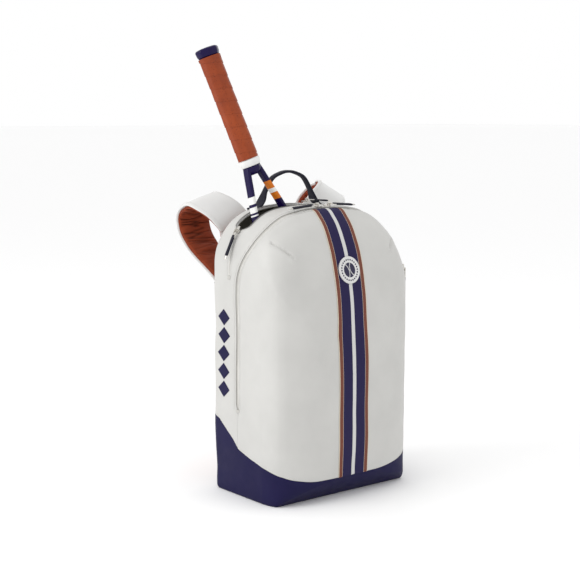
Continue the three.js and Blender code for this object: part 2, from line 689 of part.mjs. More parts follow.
const STRAP_SPACE = 3.4; // between pad and lining, where the foam is
const under = STRAP_PAD / 2 + STRAP_SPACE + STRAP_LINING / 2;
const ROOT_T = 5;
const ROOT_X = [43, 104];
const ROOT_Z = [364, 386];
const rootY = PANEL_FACE + GAP;
const lockFrame = boxSolid(-19, 19, -3, 3, -11, 11)
  .subtract(boxSolid(-14, 14, -5, 5, 1.5, 7.5))
  .subtract(boxSolid(-14, 14, -5, 5, -7.5, -1.5));
const WING_T = 2.4;
const WING = [[116, 14], [88, 14], [92, 58], [116, 58]];
for (const [side, sign] of [["left", -1], ["right", 1]]) {
  const flip = ([x, ...rest]) => [sign * x, ...rest];
  const route = strapStations(STRAP_ROUTES[side], 26, 0.66);
  add("strap_pad_" + side, band(route, STRAP_WIDTH, STRAP_PAD, 0, 4), "white");
  add("strap_lining_" + side, band(route, STRAP_WIDTH - 4, STRAP_LINING, -under, 1.2), "clay");
  const [rootIn, rootOut] = ROOT_X.map((x) => sign * x).sort((p, q) => p - q);
  add("strap_root_" + side, box(rootIn, rootOut, rootY, rootY + ROOT_T, ...ROOT_Z), "white");

  // The adjuster is a frame with a middle bar; the webbing runs down from it to the base.
  const spot = new THREE.Vector3(...flip(LOCK));
  const place = new THREE.Matrix4().makeRotationX(-0.5).setPosition(spot);
  add("ladder_lock_" + side, toGeometry(lockFrame).applyMatrix4(place), "black");
  const webbingLine = [
    [LOCK[0] + 0.5, LOCK[1] - 5.5, LOCK[2] - 13],
    [LOCK[0] + 2, LOCK[1] - 7.5, LOCK[2] - 50],
    WEBBING_MIDDLE,
    [ANCHOR[0], ANCHOR[1], ANCHOR[2] + 16],
  ];
  add("strap_webbing_" + side, band(strapStations(webbingLine.map(flip), 8), 25, 2), "navyWeb");
  const wing = new THREE.Shape(WING.map(([x, z]) => new THREE.Vector2(sign * x, z)));
  const wingPlate = new THREE.ExtrudeGeometry(wing, { depth: WING_T, bevelEnabled: false, steps: 1 });
  add("anchor_wing_" + side, wingPlate.rotateX(Math.PI / 2).translate(0, rootY + WING_T, 0), "navy");
}

// ---- Racket ----
// Racket space: x across the head, y through the strings, z from the butt towards the tip.
const racketPlace = new THREE.Matrix4()
  .makeBasis(racketAcross.clone().negate(), racketNormal, racketUp.clone().negate())
  .setPosition(RACKET_BUTT);
const addRacket = (name, geometry, colour) => add(name, geometry.applyMatrix4(racketPlace), colour);

// Handle sections are eight-sided and a little wider than they are deep.
const ACROSS = 1.08;
const THROUGH = 0.92;
function octagon(half, z) {
  const ring = [];
  for (let i = 0; i < 8; i++) {
    const angle = ((i + 0.5) / 8) * 2 * Math.PI;
    ring.push(new THREE.Vector3(half * ACROSS * Math.cos(angle), half * THROUGH * Math.sin(angle), z));
  }
  return ring;
}
const GRIP_END = 183;
const buttRings = [octagon(16.5, 0), octagon(18.5, 3), octagon(18, 10), octagon(16.5, 14)];
addRacket("butt_cap", loft(buttRings), "frame");
const gripRings = [octagon(17.6, 14.3), octagon(16.4, 24), octagon(15.6, 60), octagon(15.4, GRIP_END)];
addRacket("grip", loft(gripRings), "grip");
const COLLAR_START = GRIP_END + GAP;
const COLLAR_END = COLLAR_START + 13;
const collarRings = [octagon(16.6, COLLAR_START), octagon(17, COLLAR_START + 2), octagon(15.6, COLLAR_END)];
addRacket("collar", loft(collarRings), "rubber");

// Half of the frame's centre line, from the shaft to the tip.
const FRAME_HALF = [
  [10, 194],
  [14.5, 210],
  [20, 232],
  [27, 259],
  [36, 298],
  [58, 336],
  [82, 376],
  [100, 420],
  [114, 470],
  [118, 521],
  [109, 580],
  [85, 632],
  [48, 667],
];
const BEAM = 19;
const TUBE = 11;
const FRAME_TIP = RACKET_LENGTH - TUBE / 2 - 0.5;
function tube(points, steps, looped = false) {
  const spots = points.map(([x, z]) => new THREE.Vector3(x, 0, z));
  const curve = new THREE.CatmullRomCurve3(spots, looped, "centripetal");
  const rings = [];
  for (let i = 0; i <= steps - (looped ? 1 : 0); i++) {
    const tangent = curve.getTangentAt(i / steps);
    const side = new THREE.Vector3(tangent.z, 0, -tangent.x);
    const centre = curve.getPointAt(i / steps);
    const ring = [];
    for (let k = 0; k < 8; k++) {
      const angle = ((k + 0.5) / 8) * 2 * Math.PI;
      const point = centre.clone().addScaledVector(side, (TUBE / 2) * Math.cos(angle));
      point.y = (BEAM / 2) * Math.sin(angle);
      ring.push(point);
    }
    rings.push(ring);
  }
  return loft(rings, looped);
}
const rightSide = FRAME_HALF;
const leftSide = FRAME_HALF.map(([x, z]) => [-x, z]).reverse();
const hoop = toSolid(tube([...rightSide, [0, FRAME_TIP], ...leftSide], 56));
const BRIDGE = [[-88, 392], [-62, 377], [-30, 369], [0, 367], [30, 369], [62, 377], [88, 392]];
const bridge = toSolid(tube(BRIDGE, 14));
const shaft = toSolid(loft([octagon(13.5, 193), octagon(13.5, 200), octagon(12, 207)]));
const collarHole = boxSolid(-40, 40, -40, 40, 150, COLLAR_END + GAP);
addRacket("racket_frame", toGeometry(hoop.add(bridge).add(shaft).subtract(collarHole)), "frame");

// Strings: eight mains and nine crosses stand for sixteen and nineteen.
const HEAD_MIDDLE = 523;
const HEAD_HALF_WIDTH = 113;
const HEAD_HALF_LENGTH = 152;
const HALF_STRING = 0.7;
const MAINS = 8;
const MAIN_SPACING = 26;
const CROSSES = 9;
const CROSS_SPACING = 32;
const bed = [];
const stringBar = (x0, x1, z0, z1) => boxSolid(x0, x1, -HALF_STRING, HALF_STRING, z0, z1);
const halfChord = (t, a, b) => b * Math.sqrt(Math.max(0, 1 - (t / a) ** 2));
for (let i = 0; i < MAINS; i++) {
  const x = (i - (MAINS - 1) / 2) * MAIN_SPACING;
  const half = halfChord(x, HEAD_HALF_WIDTH, HEAD_HALF_LENGTH);
  bed.push(stringBar(x - HALF_STRING, x + HALF_STRING, HEAD_MIDDLE - half, HEAD_MIDDLE + half));
}
for (let i = 0; i < CROSSES; i++) {
  const offset = (i - (CROSSES - 1) / 2) * CROSS_SPACING;
  const half = halfChord(offset, HEAD_HALF_LENGTH, HEAD_HALF_WIDTH);
  const z = HEAD_MIDDLE + offset;
  bed.push(stringBar(-half, half, z - HALF_STRING, z + HALF_STRING));
}
const strings = wasm.Manifold.union(bed).subtract(hoop).subtract(bridge);
addRacket("strings", toGeometry(largest(strings)), "string");

export default group;
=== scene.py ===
import json
import math

import bpy
import numpy as np
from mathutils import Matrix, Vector, noise
from mathutils.bvhtree import BVHTree


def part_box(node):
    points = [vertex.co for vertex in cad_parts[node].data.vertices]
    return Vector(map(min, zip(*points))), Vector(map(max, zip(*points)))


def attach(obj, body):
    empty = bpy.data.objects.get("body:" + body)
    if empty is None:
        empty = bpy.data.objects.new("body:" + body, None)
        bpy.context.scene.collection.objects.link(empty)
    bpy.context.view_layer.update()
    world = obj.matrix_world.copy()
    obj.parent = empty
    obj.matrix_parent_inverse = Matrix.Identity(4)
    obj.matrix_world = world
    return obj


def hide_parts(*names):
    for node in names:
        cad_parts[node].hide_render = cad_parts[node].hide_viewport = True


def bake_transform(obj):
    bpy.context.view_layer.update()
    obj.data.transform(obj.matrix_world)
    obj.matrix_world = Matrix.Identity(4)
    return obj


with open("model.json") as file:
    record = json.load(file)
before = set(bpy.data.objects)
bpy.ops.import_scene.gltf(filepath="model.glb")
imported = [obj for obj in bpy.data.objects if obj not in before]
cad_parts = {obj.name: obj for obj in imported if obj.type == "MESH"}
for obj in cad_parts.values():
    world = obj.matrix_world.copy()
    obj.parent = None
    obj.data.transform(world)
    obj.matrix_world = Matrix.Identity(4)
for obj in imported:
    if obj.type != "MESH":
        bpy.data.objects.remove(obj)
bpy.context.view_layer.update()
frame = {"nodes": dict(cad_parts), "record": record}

MM = 0.001

# ---- The bag's outline, in millimetres, as the CAD has it ----
HALF_WIDTH = 140
HEIGHT = 452
CORNER_R = 90
CROWN_R = 400
PIVOT = 0.6
FLOOR_CORNER_R = 4
FLOOR_TAPER = 0.015
TAPER_FROM_Z = 110
MAIN_ZIP_SIDE_Y = 22
MAIN_ZIP_TOP_Y = -20
MAIN_ZIP_END_Z = 137
RACKET_ZIP_Y = 41.5
MOUTH_HALF = 17.2
STRIPE_HALF = 30
BADGE_R = 20.5
BADGE_Z = 356
DEPTHS = np.array([  # y, and the outline's inset at the side, top and bottom
    [88, 9, 9, 5],
    [85, 4, 4, 2],
    [78, 0.5, 0.5, 0],
    [46, 0, 0, 0],
    [22, 0, 0, 0],
    [0, 0, 0.5, 0],
    [-15, 0, 1.5, 0],
    [-27, 0, 5, 0],
    [-38, 0, 14, 0],
    [-49, 1.5, 25.5, 0],
    [-56, 3, 36.5, 0],
    [-62, 5, 48.5, 0],
    [-71, 11, 70.5, 8],
    [-78, 21, 94, 15],
    [-83, 34, 117, 21],
    [-86.5, 47, 142, 26],
    [-89.5, 64, 185, 31],
    [-92, 88, 232, 37],
], float)
DOME_TIP = np.array([0, -93.5, 150.0])
BOOT_EDGE = np.array([  # y, z
    [-110, 33], [-93, 34], [-90, 36], [-86, 40], [-80, 44], [-74, 48], [-60, 53], [-50, 56],
    [-10, 66], [20, 76], [34, 90], [70, 117], [92, 123], [110, 123],
], float)


def smooth(a, b, t):
    k = np.clip((np.asarray(t, float) - a) / (b - a), 0, 1)
    return k * k * (3 - 2 * k)


def insets(y):
    """Side, top and bottom insets at a depth, eased between the listed depths."""
    rows = DEPTHS[::-1]
    y = float(np.clip(y, rows[0, 0], rows[-1, 0]))
    i = int(np.clip(np.searchsorted(rows[:, 0], y) - 1, 0, len(rows) - 2))
    slopes = np.gradient(rows[:, 1:], rows[:, 0], axis=0)
    h = rows[i + 1, 0] - rows[i, 0]
    t = (y - rows[i, 0]) / h
    a, b = rows[i, 1:], rows[i + 1, 1:]
    limit = 3 * np.abs(b - a) / h
    m0 = np.clip(slopes[i], -limit, limit)
    m1 = np.clip(slopes[i + 1], -limit, limit)
    return ((2 * t**3 - 3 * t**2 + 1) * a + (t**3 - 2 * t**2 + t) * h * m0
            + (3 * t**2 - 2 * t**3) * b + (t**3 - t**2) * h * m1)


class Arch:
    """The arch of the bag at some inset, as a path measured from the middle of the crown."""

    def __init__(self, side=0.0, top=0.0):
        self.a = HALF_WIDTH - side
        self.r = CORNER_R * self.a / HALF_WIDTH
        self.tilt = math.asin((self.a - self.r) / (CROWN_R - self.r))
        self.crown_z = HEIGHT - CROWN_R
        self.corner_x = self.a - self.r
        self.high_z = self.crown_z + (CROWN_R - self.r) * math.cos(self.tilt)
        self.crown = CROWN_R * self.tilt
        self.to_side = self.crown + self.r * (math.pi / 2 - self.tilt)
        self.fixed = PIVOT * (HEIGHT - top)
        self.squash = (HEIGHT - top - self.fixed) / (HEIGHT - self.fixed)
        self.corner_z = self.lower(self.high_z)

    def lower(self, z):
        return self.fixed + (z - self.fixed) * self.squash

    def at(self, u):
        sign = -1 if u < 0 else 1
        s = abs(u)
        if s > self.to_side:
            return sign * self.a, self.corner_z - (s - self.to_side)
        if s <= self.crown:
            angle = s / CROWN_R
            return sign * CROWN_R * math.sin(angle), self.lower(self.crown_z + CROWN_R * math.cos(angle))
        angle = self.tilt + (s - self.crown) / self.r
        x = sign * (self.corner_x + self.r * math.sin(angle))
        return x, self.lower(self.high_z + self.r * math.cos(angle))


BASE_ARCH = Arch()


def taper(z):
    return 1 - FLOOR_TAPER * (1 - z / TAPER_FROM_Z) ** 2 if z < TAPER_FROM_Z else 1.0


def on_bag(u, y):
    """A point of the bag's skin: u runs along the arch from the crown, y is the depth."""
    side, top, _ = insets(y)
    path = Arch(side, top)
    s = abs(u)
    if s > BASE_ARCH.to_side:
        z = BASE_ARCH.corner_z - (s - BASE_ARCH.to_side)
        length = path.to_side + path.corner_z - z
    else:
        length = s * path.to_side / BASE_ARCH.to_side
    x, z = path.at(math.copysign(length, u))
    return np.array([x * taper(z), y, z])


def u_at_height(z):
    return BASE_ARCH.to_side + BASE_ARCH.corner_z - z


def bag_frame(u, y):
    """Point, direction along the arch, direction towards the back, and outward normal."""
    along = on_bag(u + 1, y) - on_bag(u - 1, y)
    across = on_bag(u, y + 2) - on_bag(u, y - 2)
    along /= np.linalg.norm(along)
    across /= np.linalg.norm(across)
    normal = np.cross(along, across)
    return on_bag(u, y), along, across, normal / np.linalg.norm(normal)


def outline(y, counts=(30, 8, 150, 60, 34)):
    side, top, bottom = insets(y)
    path = Arch(side, top)
    rb = FLOOR_CORNER_R + 0.3 * side
    flat = path.a - rb
    flats, rounds, sides, corners, crowns = counts
    half = [(flat * i / flats, bottom) for i in range(flats)]
    for i in range(rounds):
        angle = i / rounds * math.pi / 2
        half.append((flat + rb * math.sin(angle), bottom + rb * (1 - math.cos(angle))))
    low = bottom + rb
    half += [(path.a, low + (path.corner_z - low) * i / sides) for i in range(sides)]
    half += [path.at(path.to_side - (path.to_side - path.crown) * i / corners) for i in range(corners)]
    half += [path.at(path.crown * (1 - i / crowns)) for i in range(crowns)]
    ring = half + [path.at(0)] + [(-x, z) for x, z in reversed(half[1:])]
    return np.array([(x * taper(z), y, z) for x, z in ring])


def main_zip_y(z):
    return MAIN_ZIP_SIDE_Y + (MAIN_ZIP_TOP_Y - MAIN_ZIP_SIDE_Y) * smooth(330, 438, z)


def boot_edge(y):
    return np.interp(y, BOOT_EDGE[:, 0], BOOT_EDGE[:, 1])


# ---- Mesh helpers; arrays are in millimetres ----
def grid_faces(rows, columns, closed=True):
    faces = []
    last = columns if closed else columns - 1
    for i in range(rows - 1):
        for k in range(last):
            m = (k + 1) % columns
            a, b = i * columns + k, i * columns + m
            faces += [(a, b, b + columns), (a, b + columns, a + columns)]
    return np.array(faces)


def normals(points, faces):
    n = np.zeros_like(points)
    t = points[faces]
    cross = np.cross(t[:, 1] - t[:, 0], t[:, 2] - t[:, 0])
    for k in range(3):
        np.add.at(n, faces[:, k], cross)
    return n / np.maximum(np.linalg.norm(n, axis=1, keepdims=True), 1e-9)


def clip(points, faces, value):
    """The part of a triangle mesh where value is at most 0, cut cleanly along value = 0."""
    inside = value <= 0
    count = inside[faces].sum(1)
    kept = [tuple(f) for f in faces[count == 3]]
    points = list(points)
    cuts = {}

    def cut(i, j):
        key = (min(i, j), max(i, j))
        if key not in cuts:
            t = value[i] / (value[i] - value[j])
            points.append(points[i] + (points[j] - points[i]) * t)
            cuts[key] = len(points) - 1
        return cuts[key]

    for face in faces[(count == 1) | (count == 2)]:
        ring = []
        for k in range(3):
            i, j = face[k], face[(k + 1) % 3]
            if inside[i]:
                ring.append(i)
            if inside[i] != inside[j]:
                ring.append(cut(i, j))
        kept += [(ring[0], ring[k], ring[k + 1]) for k in range(1, len(ring) - 1)]
    kept = np.array(kept)
    used, inverse = np.unique(kept, return_inverse=True)
    return np.array(points)[used], inverse.reshape(-1, 3)


def piece(name, points, faces, material, body, replaced=(), smooth_shading=True):
    mesh = bpy.data.meshes.new(name)
    mesh.from_pydata((np.asarray(points) * MM).tolist(), [], [tuple(int(i) for i in f) for f in faces])
    mesh.update()
    made = bpy.data.objects.new(name, mesh)
    bpy.context.scene.collection.objects.link(made)
    for entry in material if isinstance(material, (list, tuple)) else [material]:
        mesh.materials.append(entry)
    if smooth_shading:
        mesh.polygons.foreach_set("use_smooth", [True] * len(mesh.polygons))
    made["body_name"] = body
    if replaced:
        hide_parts(*replaced)
    return made


def apply_modifiers(made):
    bpy.context.view_layer.update()
    depsgraph = bpy.context.evaluated_depsgraph_get()
    baked = bpy.data.meshes.new_from_object(made.evaluated_get(depsgraph))
    made.modifiers.clear()
    made.data = baked


def thicken(made, thickness, offset=-1):
    solidify = made.modifiers.new("wall", "SOLIDIFY")
    solidify.thickness = thickness * MM
    solidify.offset = offset
    apply_modifiers(made)
    made.data.polygons.foreach_set("use_smooth", [True] * len(made.data.polygons))
    sharpen(made)


def sharpen(made, degrees=40):
    bpy.context.view_layer.objects.active = made
    made.data.set_sharp_from_angle(angle=math.radians(degrees))


def settle(*pieces):
    for made in pieces:
        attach(made, made["body_name"])


def sweep(rings, closed_ring=True, caps=True):
    """Points and faces of a tube through rings of equally many points."""
    rings = np.array(rings)
    rows, columns = rings.shape[:2]
    points = rings.reshape(-1, 3)
    faces = [tuple(f) for f in grid_faces(rows, columns, closed_ring)]
    if caps:
        start = len(points)
        points = np.vstack([points, rings[0].mean(0), rings[-1].mean(0)])
        for k in range(columns):
            m = (k + 1) % columns
            faces.append((start, m, k))
            faces.append((start + 1, (rows - 1) * columns + k, (rows - 1) * columns + m))
    return points, np.array(faces)


def facing_out(points, faces):
    t = points[faces]
    volume = np.einsum("ij,ij->i", t[:, 0], np.cross(t[:, 1], t[:, 2])).sum()
    return faces if volume > 0 else faces[:, ::-1]


def superellipse(angle, sideways, upwards):
    """A point of a unit section; exponents under 1 flatten its sides and faces."""
    return (math.copysign(abs(math.cos(angle)) ** sideways, math.cos(angle)),
            math.copysign(abs(math.sin(angle)) ** upwards, math.sin(angle)))


def turn(count):
    """Evenly spaced angles round a full turn."""
    return [k / count * 2 * math.pi for k in range(count)]


def solid(name, rings, material, body, replaced=(), smooth_shading=True):
    """A closed piece swept through rings."""
    points, faces = sweep(rings)
    return piece(name, points, facing_out(points, faces), material, body, replaced, smooth_shading)


def unit_rows(vectors):
    return vectors / np.linalg.norm(vectors, axis=1, keepdims=True)


def spline(points, count):
    """Evenly spaced points of a smooth curve through the given ones, with their tangents."""
    p = np.array(points, float)
    p = np.vstack([2 * p[0] - p[1], p, 2 * p[-1] - p[-2]])
    dense = []
    for i in range(1, len(p) - 2):
        for t in np.linspace(0, 1, 24, endpoint=False):
            dense.append(0.5 * (2 * p[i] + (p[i + 1] - p[i - 1]) * t
                                + (2 * p[i - 1] - 5 * p[i] + 4 * p[i + 1] - p[i + 2]) * t**2
                                + (3 * p[i] - p[i - 1] - 3 * p[i + 1] + p[i + 2]) * t**3))
    dense.append(p[-2])
    dense = np.array(dense)
    length = np.concatenate([[0], np.cumsum(np.linalg.norm(np.diff(dense, axis=0), axis=1))])
    where = np.linspace(0, length[-1], count)
    even = np.stack([np.interp(where, length, dense[:, k]) for k in range(3)], 1)
    tangent = np.gradient(even, axis=0)
    return even, unit_rows(tangent)


def wobble(points, scale, seed=0.0):
    places = (Vector((p[0] / scale + seed, p[1] / scale, p[2] / scale)) for p in points)
    return np.array([noise.noise(place) for place in places])


# ---- Materials ----
class Nodes:
    def __init__(self, name):
        self.material = bpy.data.materials.new(name)
        self.material.use_nodes = True
        self.tree = self.material.node_tree
        self.shader = self.tree.nodes["Principled BSDF"]
        self.place = self.new("ShaderNodeTexCoord").outputs["Object"]

    def new(self, kind, **settings):
        node = self.tree.nodes.new(kind)
        for key, value in settings.items():
            setattr(node, key, value)
        return node

    def link(self, out, into):
        self.tree.links.new(out, into)

    def noise(self, scale, detail=4, roughness=0.55, place=None):
        node = self.new("ShaderNodeTexNoise")
        node.inputs["Scale"].default_value = scale
        node.inputs["Detail"].default_value = detail
        node.inputs["Roughness"].default_value = roughness
        self.link(place or self.place, node.inputs["Vector"])
        return node.outputs["Fac"]

    def voronoi(self, scale, feature="F1", place=None):
        node = self.new("ShaderNodeTexVoronoi", feature=feature)
        node.inputs["Scale"].default_value = scale
        self.link(place or self.place, node.inputs["Vector"])
        return node.outputs["Distance"]

    def wave(self, scale, direction="X", distortion=0.0, place=None):
        node = self.new("ShaderNodeTexWave", bands_direction=direction)
        node.inputs["Scale"].default_value = scale
        node.inputs["Distortion"].default_value = distortion
        self.link(place or self.place, node.inputs["Vector"])
        return node.outputs["Fac"]

    def span(self, value, low, high, from_low=0.0, from_high=1.0):
        node = self.new("ShaderNodeMapRange")
        node.inputs["From Min"].default_value = from_low
        node.inputs["From Max"].default_value = from_high
        node.inputs["To Min"].default_value = low
        node.inputs["To Max"].default_value = high
        self.link(value, node.inputs["Value"])
        return node.outputs["Result"]

    def spread(self, value, low, high):
        """Noise mostly lies between 0.3 and 0.7; that stretch becomes low to high."""
        return self.span(value, low, high, 0.3, 0.7)

    def bands(self, value, stops):
        """Plain bands of colour along a value from 0 to 1, from each band's start and colour."""
        node = self.new("ShaderNodeValToRGB")
        ramp = node.color_ramp
        ramp.interpolation = "CONSTANT"
        ramp.elements.remove(ramp.elements[1])
        for i, (start, colour) in enumerate(stops):
            stop = ramp.elements[0] if i == 0 else ramp.elements.new(start)
            stop.position = start
            stop.color = (*colour, 1)
        self.link(value, node.inputs["Fac"])
        return node.outputs["Color"]

    def math(self, operation, a, b=None):
        node = self.new("ShaderNodeMath", operation=operation)
        for value, socket in ((a, node.inputs[0]), (b, node.inputs[1])):
            if value is None:
                continue
            if isinstance(value, (int, float)):
                socket.default_value = value
            else:
                self.link(value, socket)
        return node.outputs[0]

    def mix(self, factor, a, b):
        node = self.new("ShaderNodeMix", data_type="RGBA")
        self.link(factor, node.inputs["Factor"])
        for value, socket in ((a, node.inputs["A"]), (b, node.inputs["B"])):
            if isinstance(value, (tuple, list)):
                socket.default_value = (*value, 1)
            else:
                self.link(value, socket)
        return node.outputs["Result"]

    def colour(self, value):
        self.link(value, self.shader.inputs["Base Color"])

    def roughness(self, value):
        self.link(value, self.shader.inputs["Roughness"])

    def bump(self, height, strength, distance):
        node = self.new("ShaderNodeBump")
        node.inputs["Strength"].default_value = strength
        node.inputs["Distance"].default_value = distance
        self.link(height, node.inputs["Height"])
        before = self.shader.inputs["Normal"]
        if before.is_linked:
            self.link(before.links[0].from_socket, node.inputs["Normal"])
        self.link(node.outputs["Normal"], before)

    def set(self, **values):
        for key, value in values.items():
            self.shader.inputs[key.replace("_", " ")].default_value = value


WAVE_SHARE = 6.28  # a thread setting becomes the wave texture's scale by this


def tint(colour, k):
    return tuple(c * k for c in colour)


def coated(name, colour, rough=0.5, variation=0.06, grain=900, coat=0.05, specular=0.5):
    """Coated fabric: a fine leather-like grain, faint clouding and handling marks."""
    n = Nodes(name)
    cloud = n.noise(14, 3)
    light = tint(colour, 1 + variation * 0.4)
    n.colour(n.mix(n.spread(cloud, 0, 1), tint(colour, 1 - variation), light))
    n.roughness(n.spread(n.noise(60, 4), rough - 0.06, rough + 0.08))
    n.bump(n.voronoi(grain), 0.18, 0.0002)
    n.bump(n.noise(grain * 2.5, 3), 0.12, 0.0001)
    n.set(Coat_Weight=coat, Coat_Roughness=0.45, Specular_IOR_Level=specular)
    return n.material


def woven(name, colour, thread=1400, rough=0.8, variation=0.18, sheen=0.15, depth=0.0003, specular=0.5):
    """Woven cloth: two crossed thread directions, with colour and wear between them."""
    n = Nodes(name)
    warp, weft, deep = (n.wave(thread / WAVE_SHARE, axis) for axis in "XZY")
    weave = n.math("MAXIMUM", n.math("MULTIPLY", warp, weft), n.math("MULTIPLY", deep, weft))
    cloud = n.noise(40, 4)
    shade = n.math("ADD", n.math("MULTIPLY", weave, 0.5), n.math("MULTIPLY", cloud, 0.5))
    n.colour(n.mix(n.span(shade, 0, 1, 0.2, 0.8), tint(colour, 1 - variation), tint(colour, 1 + variation)))
    n.roughness(n.spread(cloud, rough - 0.08, rough + 0.08))
    n.bump(weave, 0.35, depth)
    n.set(Sheen_Weight=sheen, Sheen_Roughness=0.5, Specular_IOR_Level=specular)
    return n.material


def plastic(name, colour, rough=0.35, variation=0.1, coat=0.0, metallic=0.0, scale=300):
    """Moulded plastic, lacquer or metal: faint flow marks, smudges and fine scuffs."""
    n = Nodes(name)
    flow = n.spread(n.noise(scale / 8, 3), 0, 1)
    n.colour(n.mix(flow, tint(colour, 1 - variation), tint(colour, 1 + variation)))
    n.roughness(n.spread(n.noise(scale, 4), max(0.05, rough - 0.08), rough + 0.1))
    n.bump(n.noise(scale * 4, 3), 0.08, 0.0001)
    n.set(Metallic=metallic, Coat_Weight=coat, Coat_Roughness=0.1)
    return n.material


WHITE = (0.55, 0.545, 0.525)
NAVY = (0.011, 0.009, 0.05)
STRIPE_NAVY = (0.013, 0.009, 0.055)
CLAY = (0.255, 0.045, 0.015)
white_skin = coated("white_coated_fabric", WHITE)
strap_skin = coated("strap_coated_fabric", (0.7, 0.7, 0.69), rough=0.55)
navy_skin = coated("navy_coated_fabric", NAVY, rough=0.5, variation=0.12, coat=0.0, specular=0.12)
clay_cloth = woven("clay_lining", CLAY, rough=0.75, sheen=0.04, specular=0.2)
web_cloth = woven("navy_webbing", (0.01, 0.01, 0.02), thread=900, rough=0.8, sheen=0.05, specular=0.25)
lining_cloth = woven("olive_lining", (0.14, 0.13, 0.105), rough=0.85)
tape_cloth = woven("pale_zip_tape", (0.5, 0.49, 0.46), thread=1800, rough=0.8)
coil_pale = plastic("pale_coil", (0.6, 0.59, 0.56), rough=0.35)
coil_dark = plastic("dark_coil", (0.16, 0.155, 0.15), rough=0.35)
coil_black = plastic("black_coil", (0.015, 0.015, 0.016), rough=0.3)
metal = plastic("polished_metal", (0.62, 0.6, 0.56), rough=0.2, metallic=1.0, variation=0.15)


def crease_shaded_material():
    """The straps' clay lining: the same cloth, with painted shade that darkens it where the fold attribute
    marks a crease.
    """
    n = Nodes("clay_strap_lining_crease_shaded")
    crease = n.new("ShaderNodeAttribute", attribute_name="fold").outputs["Fac"]
    cloud = n.noise(40, 4)
    plain = n.mix(n.spread(cloud, 0, 1), tint(CLAY, 0.88), tint(CLAY, 1.12))
    # Painted shade: where the fold attribute marks a crease, the colour drops to 0.28 of the clay.
    n.colour(n.mix(crease, plain, tint(CLAY, 0.28)))
    n.roughness(n.spread(cloud, 0.7, 0.85))
    weave = n.math("MULTIPLY", n.wave(220, "X"), n.wave(220, "Z"))
    n.bump(weave, 0.3, 0.0003)
    n.set(Sheen_Weight=0.04, Specular_IOR_Level=0.2)
    return n.material


# The strap lining's cloth, with painted shade in its creases.
crease_shaded_lining_cloth = crease_shaded_material()
black_plastic = plastic("black_plastic", (0.014, 0.014, 0.015), rough=0.4)
black_rubber = plastic("black_rubber", (0.012, 0.012, 0.013), rough=0.6)
badge_white = plastic("badge_white", (0.68, 0.68, 0.67), rough=0.4, variation=0.03)
badge_navy = plastic("badge_navy", (0.012, 0.01, 0.045), rough=0.6)
board_plastic = plastic("board_plastic", (0.06, 0.06, 0.06), rough=0.7)


STRIPE_CREAM = (0.62, 0.55, 0.44)
STRIPE_CLAY = (0.17, 0.055, 0.035)
STRIPE_BANDS = [  # where each band starts, in millimetres from the middle, and its colour
    (0, (0.6, 0.6, 0.59)), (3.3, STRIPE_NAVY), (22.0, STRIPE_CREAM), (22.5, STRIPE_CLAY),
    (28.9, STRIPE_CREAM),
]


def stripe_material():
    """Bands across the stripe, set by distance from the middle: white, navy, cream, clay, cream."""
    n = Nodes("front_stripe_cloth")
    split = n.new("ShaderNodeSeparateXYZ")
    n.link(n.place, split.inputs[0])
    reach = n.math("MULTIPLY", n.math("ABSOLUTE", split.outputs["X"]), 1000)
    colours = [(start / STRIPE_HALF, colour) for start, colour in STRIPE_BANDS]
    stripes = n.bands(n.math("DIVIDE", reach, STRIPE_HALF), colours)
    threads = n.math("MULTIPLY", n.wave(260, "X"), n.wave(260, "Z"))
    cloud = n.noise(50, 4)
    worn = n.span(n.math("ADD", n.math("MULTIPLY", threads, 0.4), cloud), 0.0, 0.012, 0.3, 1.1)
    n.colour(n.mix(worn, stripes, (0.5, 0.5, 0.55)))
    n.roughness(n.spread(cloud, 0.5, 0.65))
    n.bump(threads, 0.3, 0.0003)
    n.set(Sheen_Weight=0.02, Specular_IOR_Level=0.15)
    return n.material


stripe_cloth = stripe_material()

# ---- The outer skin ----
SEAM_END_FADE = 26
DART = np.array([[98, -66, 380.5], [110, -56.5, 392], [120, -40, 402]])
ZIP_DIP, ZIP_DIP_WIDTH = 1.5, 6.0
ZIP_SWELL, ZIP_SWELL_FROM, ZIP_SWELL_WIDTH = 0.8, 13, 7.0
DART_DIP, DART_DIP_WIDTH = 3.2, 2.3
DART_SWELL, DART_SWELL_WIDTH = 1.7, 12.0
TIP_SWELL, TIP_SWELL_WIDTH = 2.4, 6.0
HOLLOW = np.array([-14, -8, -28])  # the soft hollow under each dart, from the dart's tip
HOLLOW_STRETCH = np.array([1, 1, 1.5])
HOLLOW_DIP, HOLLOW_WIDTH = 2.6, 24
CREASES = [  # start, end, depth and width of soft dents in the front
    ((-30, 262), (-60, 225), -1.7, 9),
    ((-60, 225), (-95, 185), -1.1, 15),
    ((-112, 120), (-70, 150), 0.9, 18),
    ((-120, 86), (-108, 180), -0.8, 14),
    ((60, 140), (112, 95), -0.8, 14),
    ((72, 300), (100, 200), 0.8, 20),
]


def distance_to_segment(points, a, b):
    along = b - a
    t = np.clip(((points - a) @ along) / (along @ along), 0, 1)
    return np.linalg.norm(points - a - t[:, None] * along, axis=1)


def bell(distance, width):
    return np.exp(-((distance / width) ** 2))


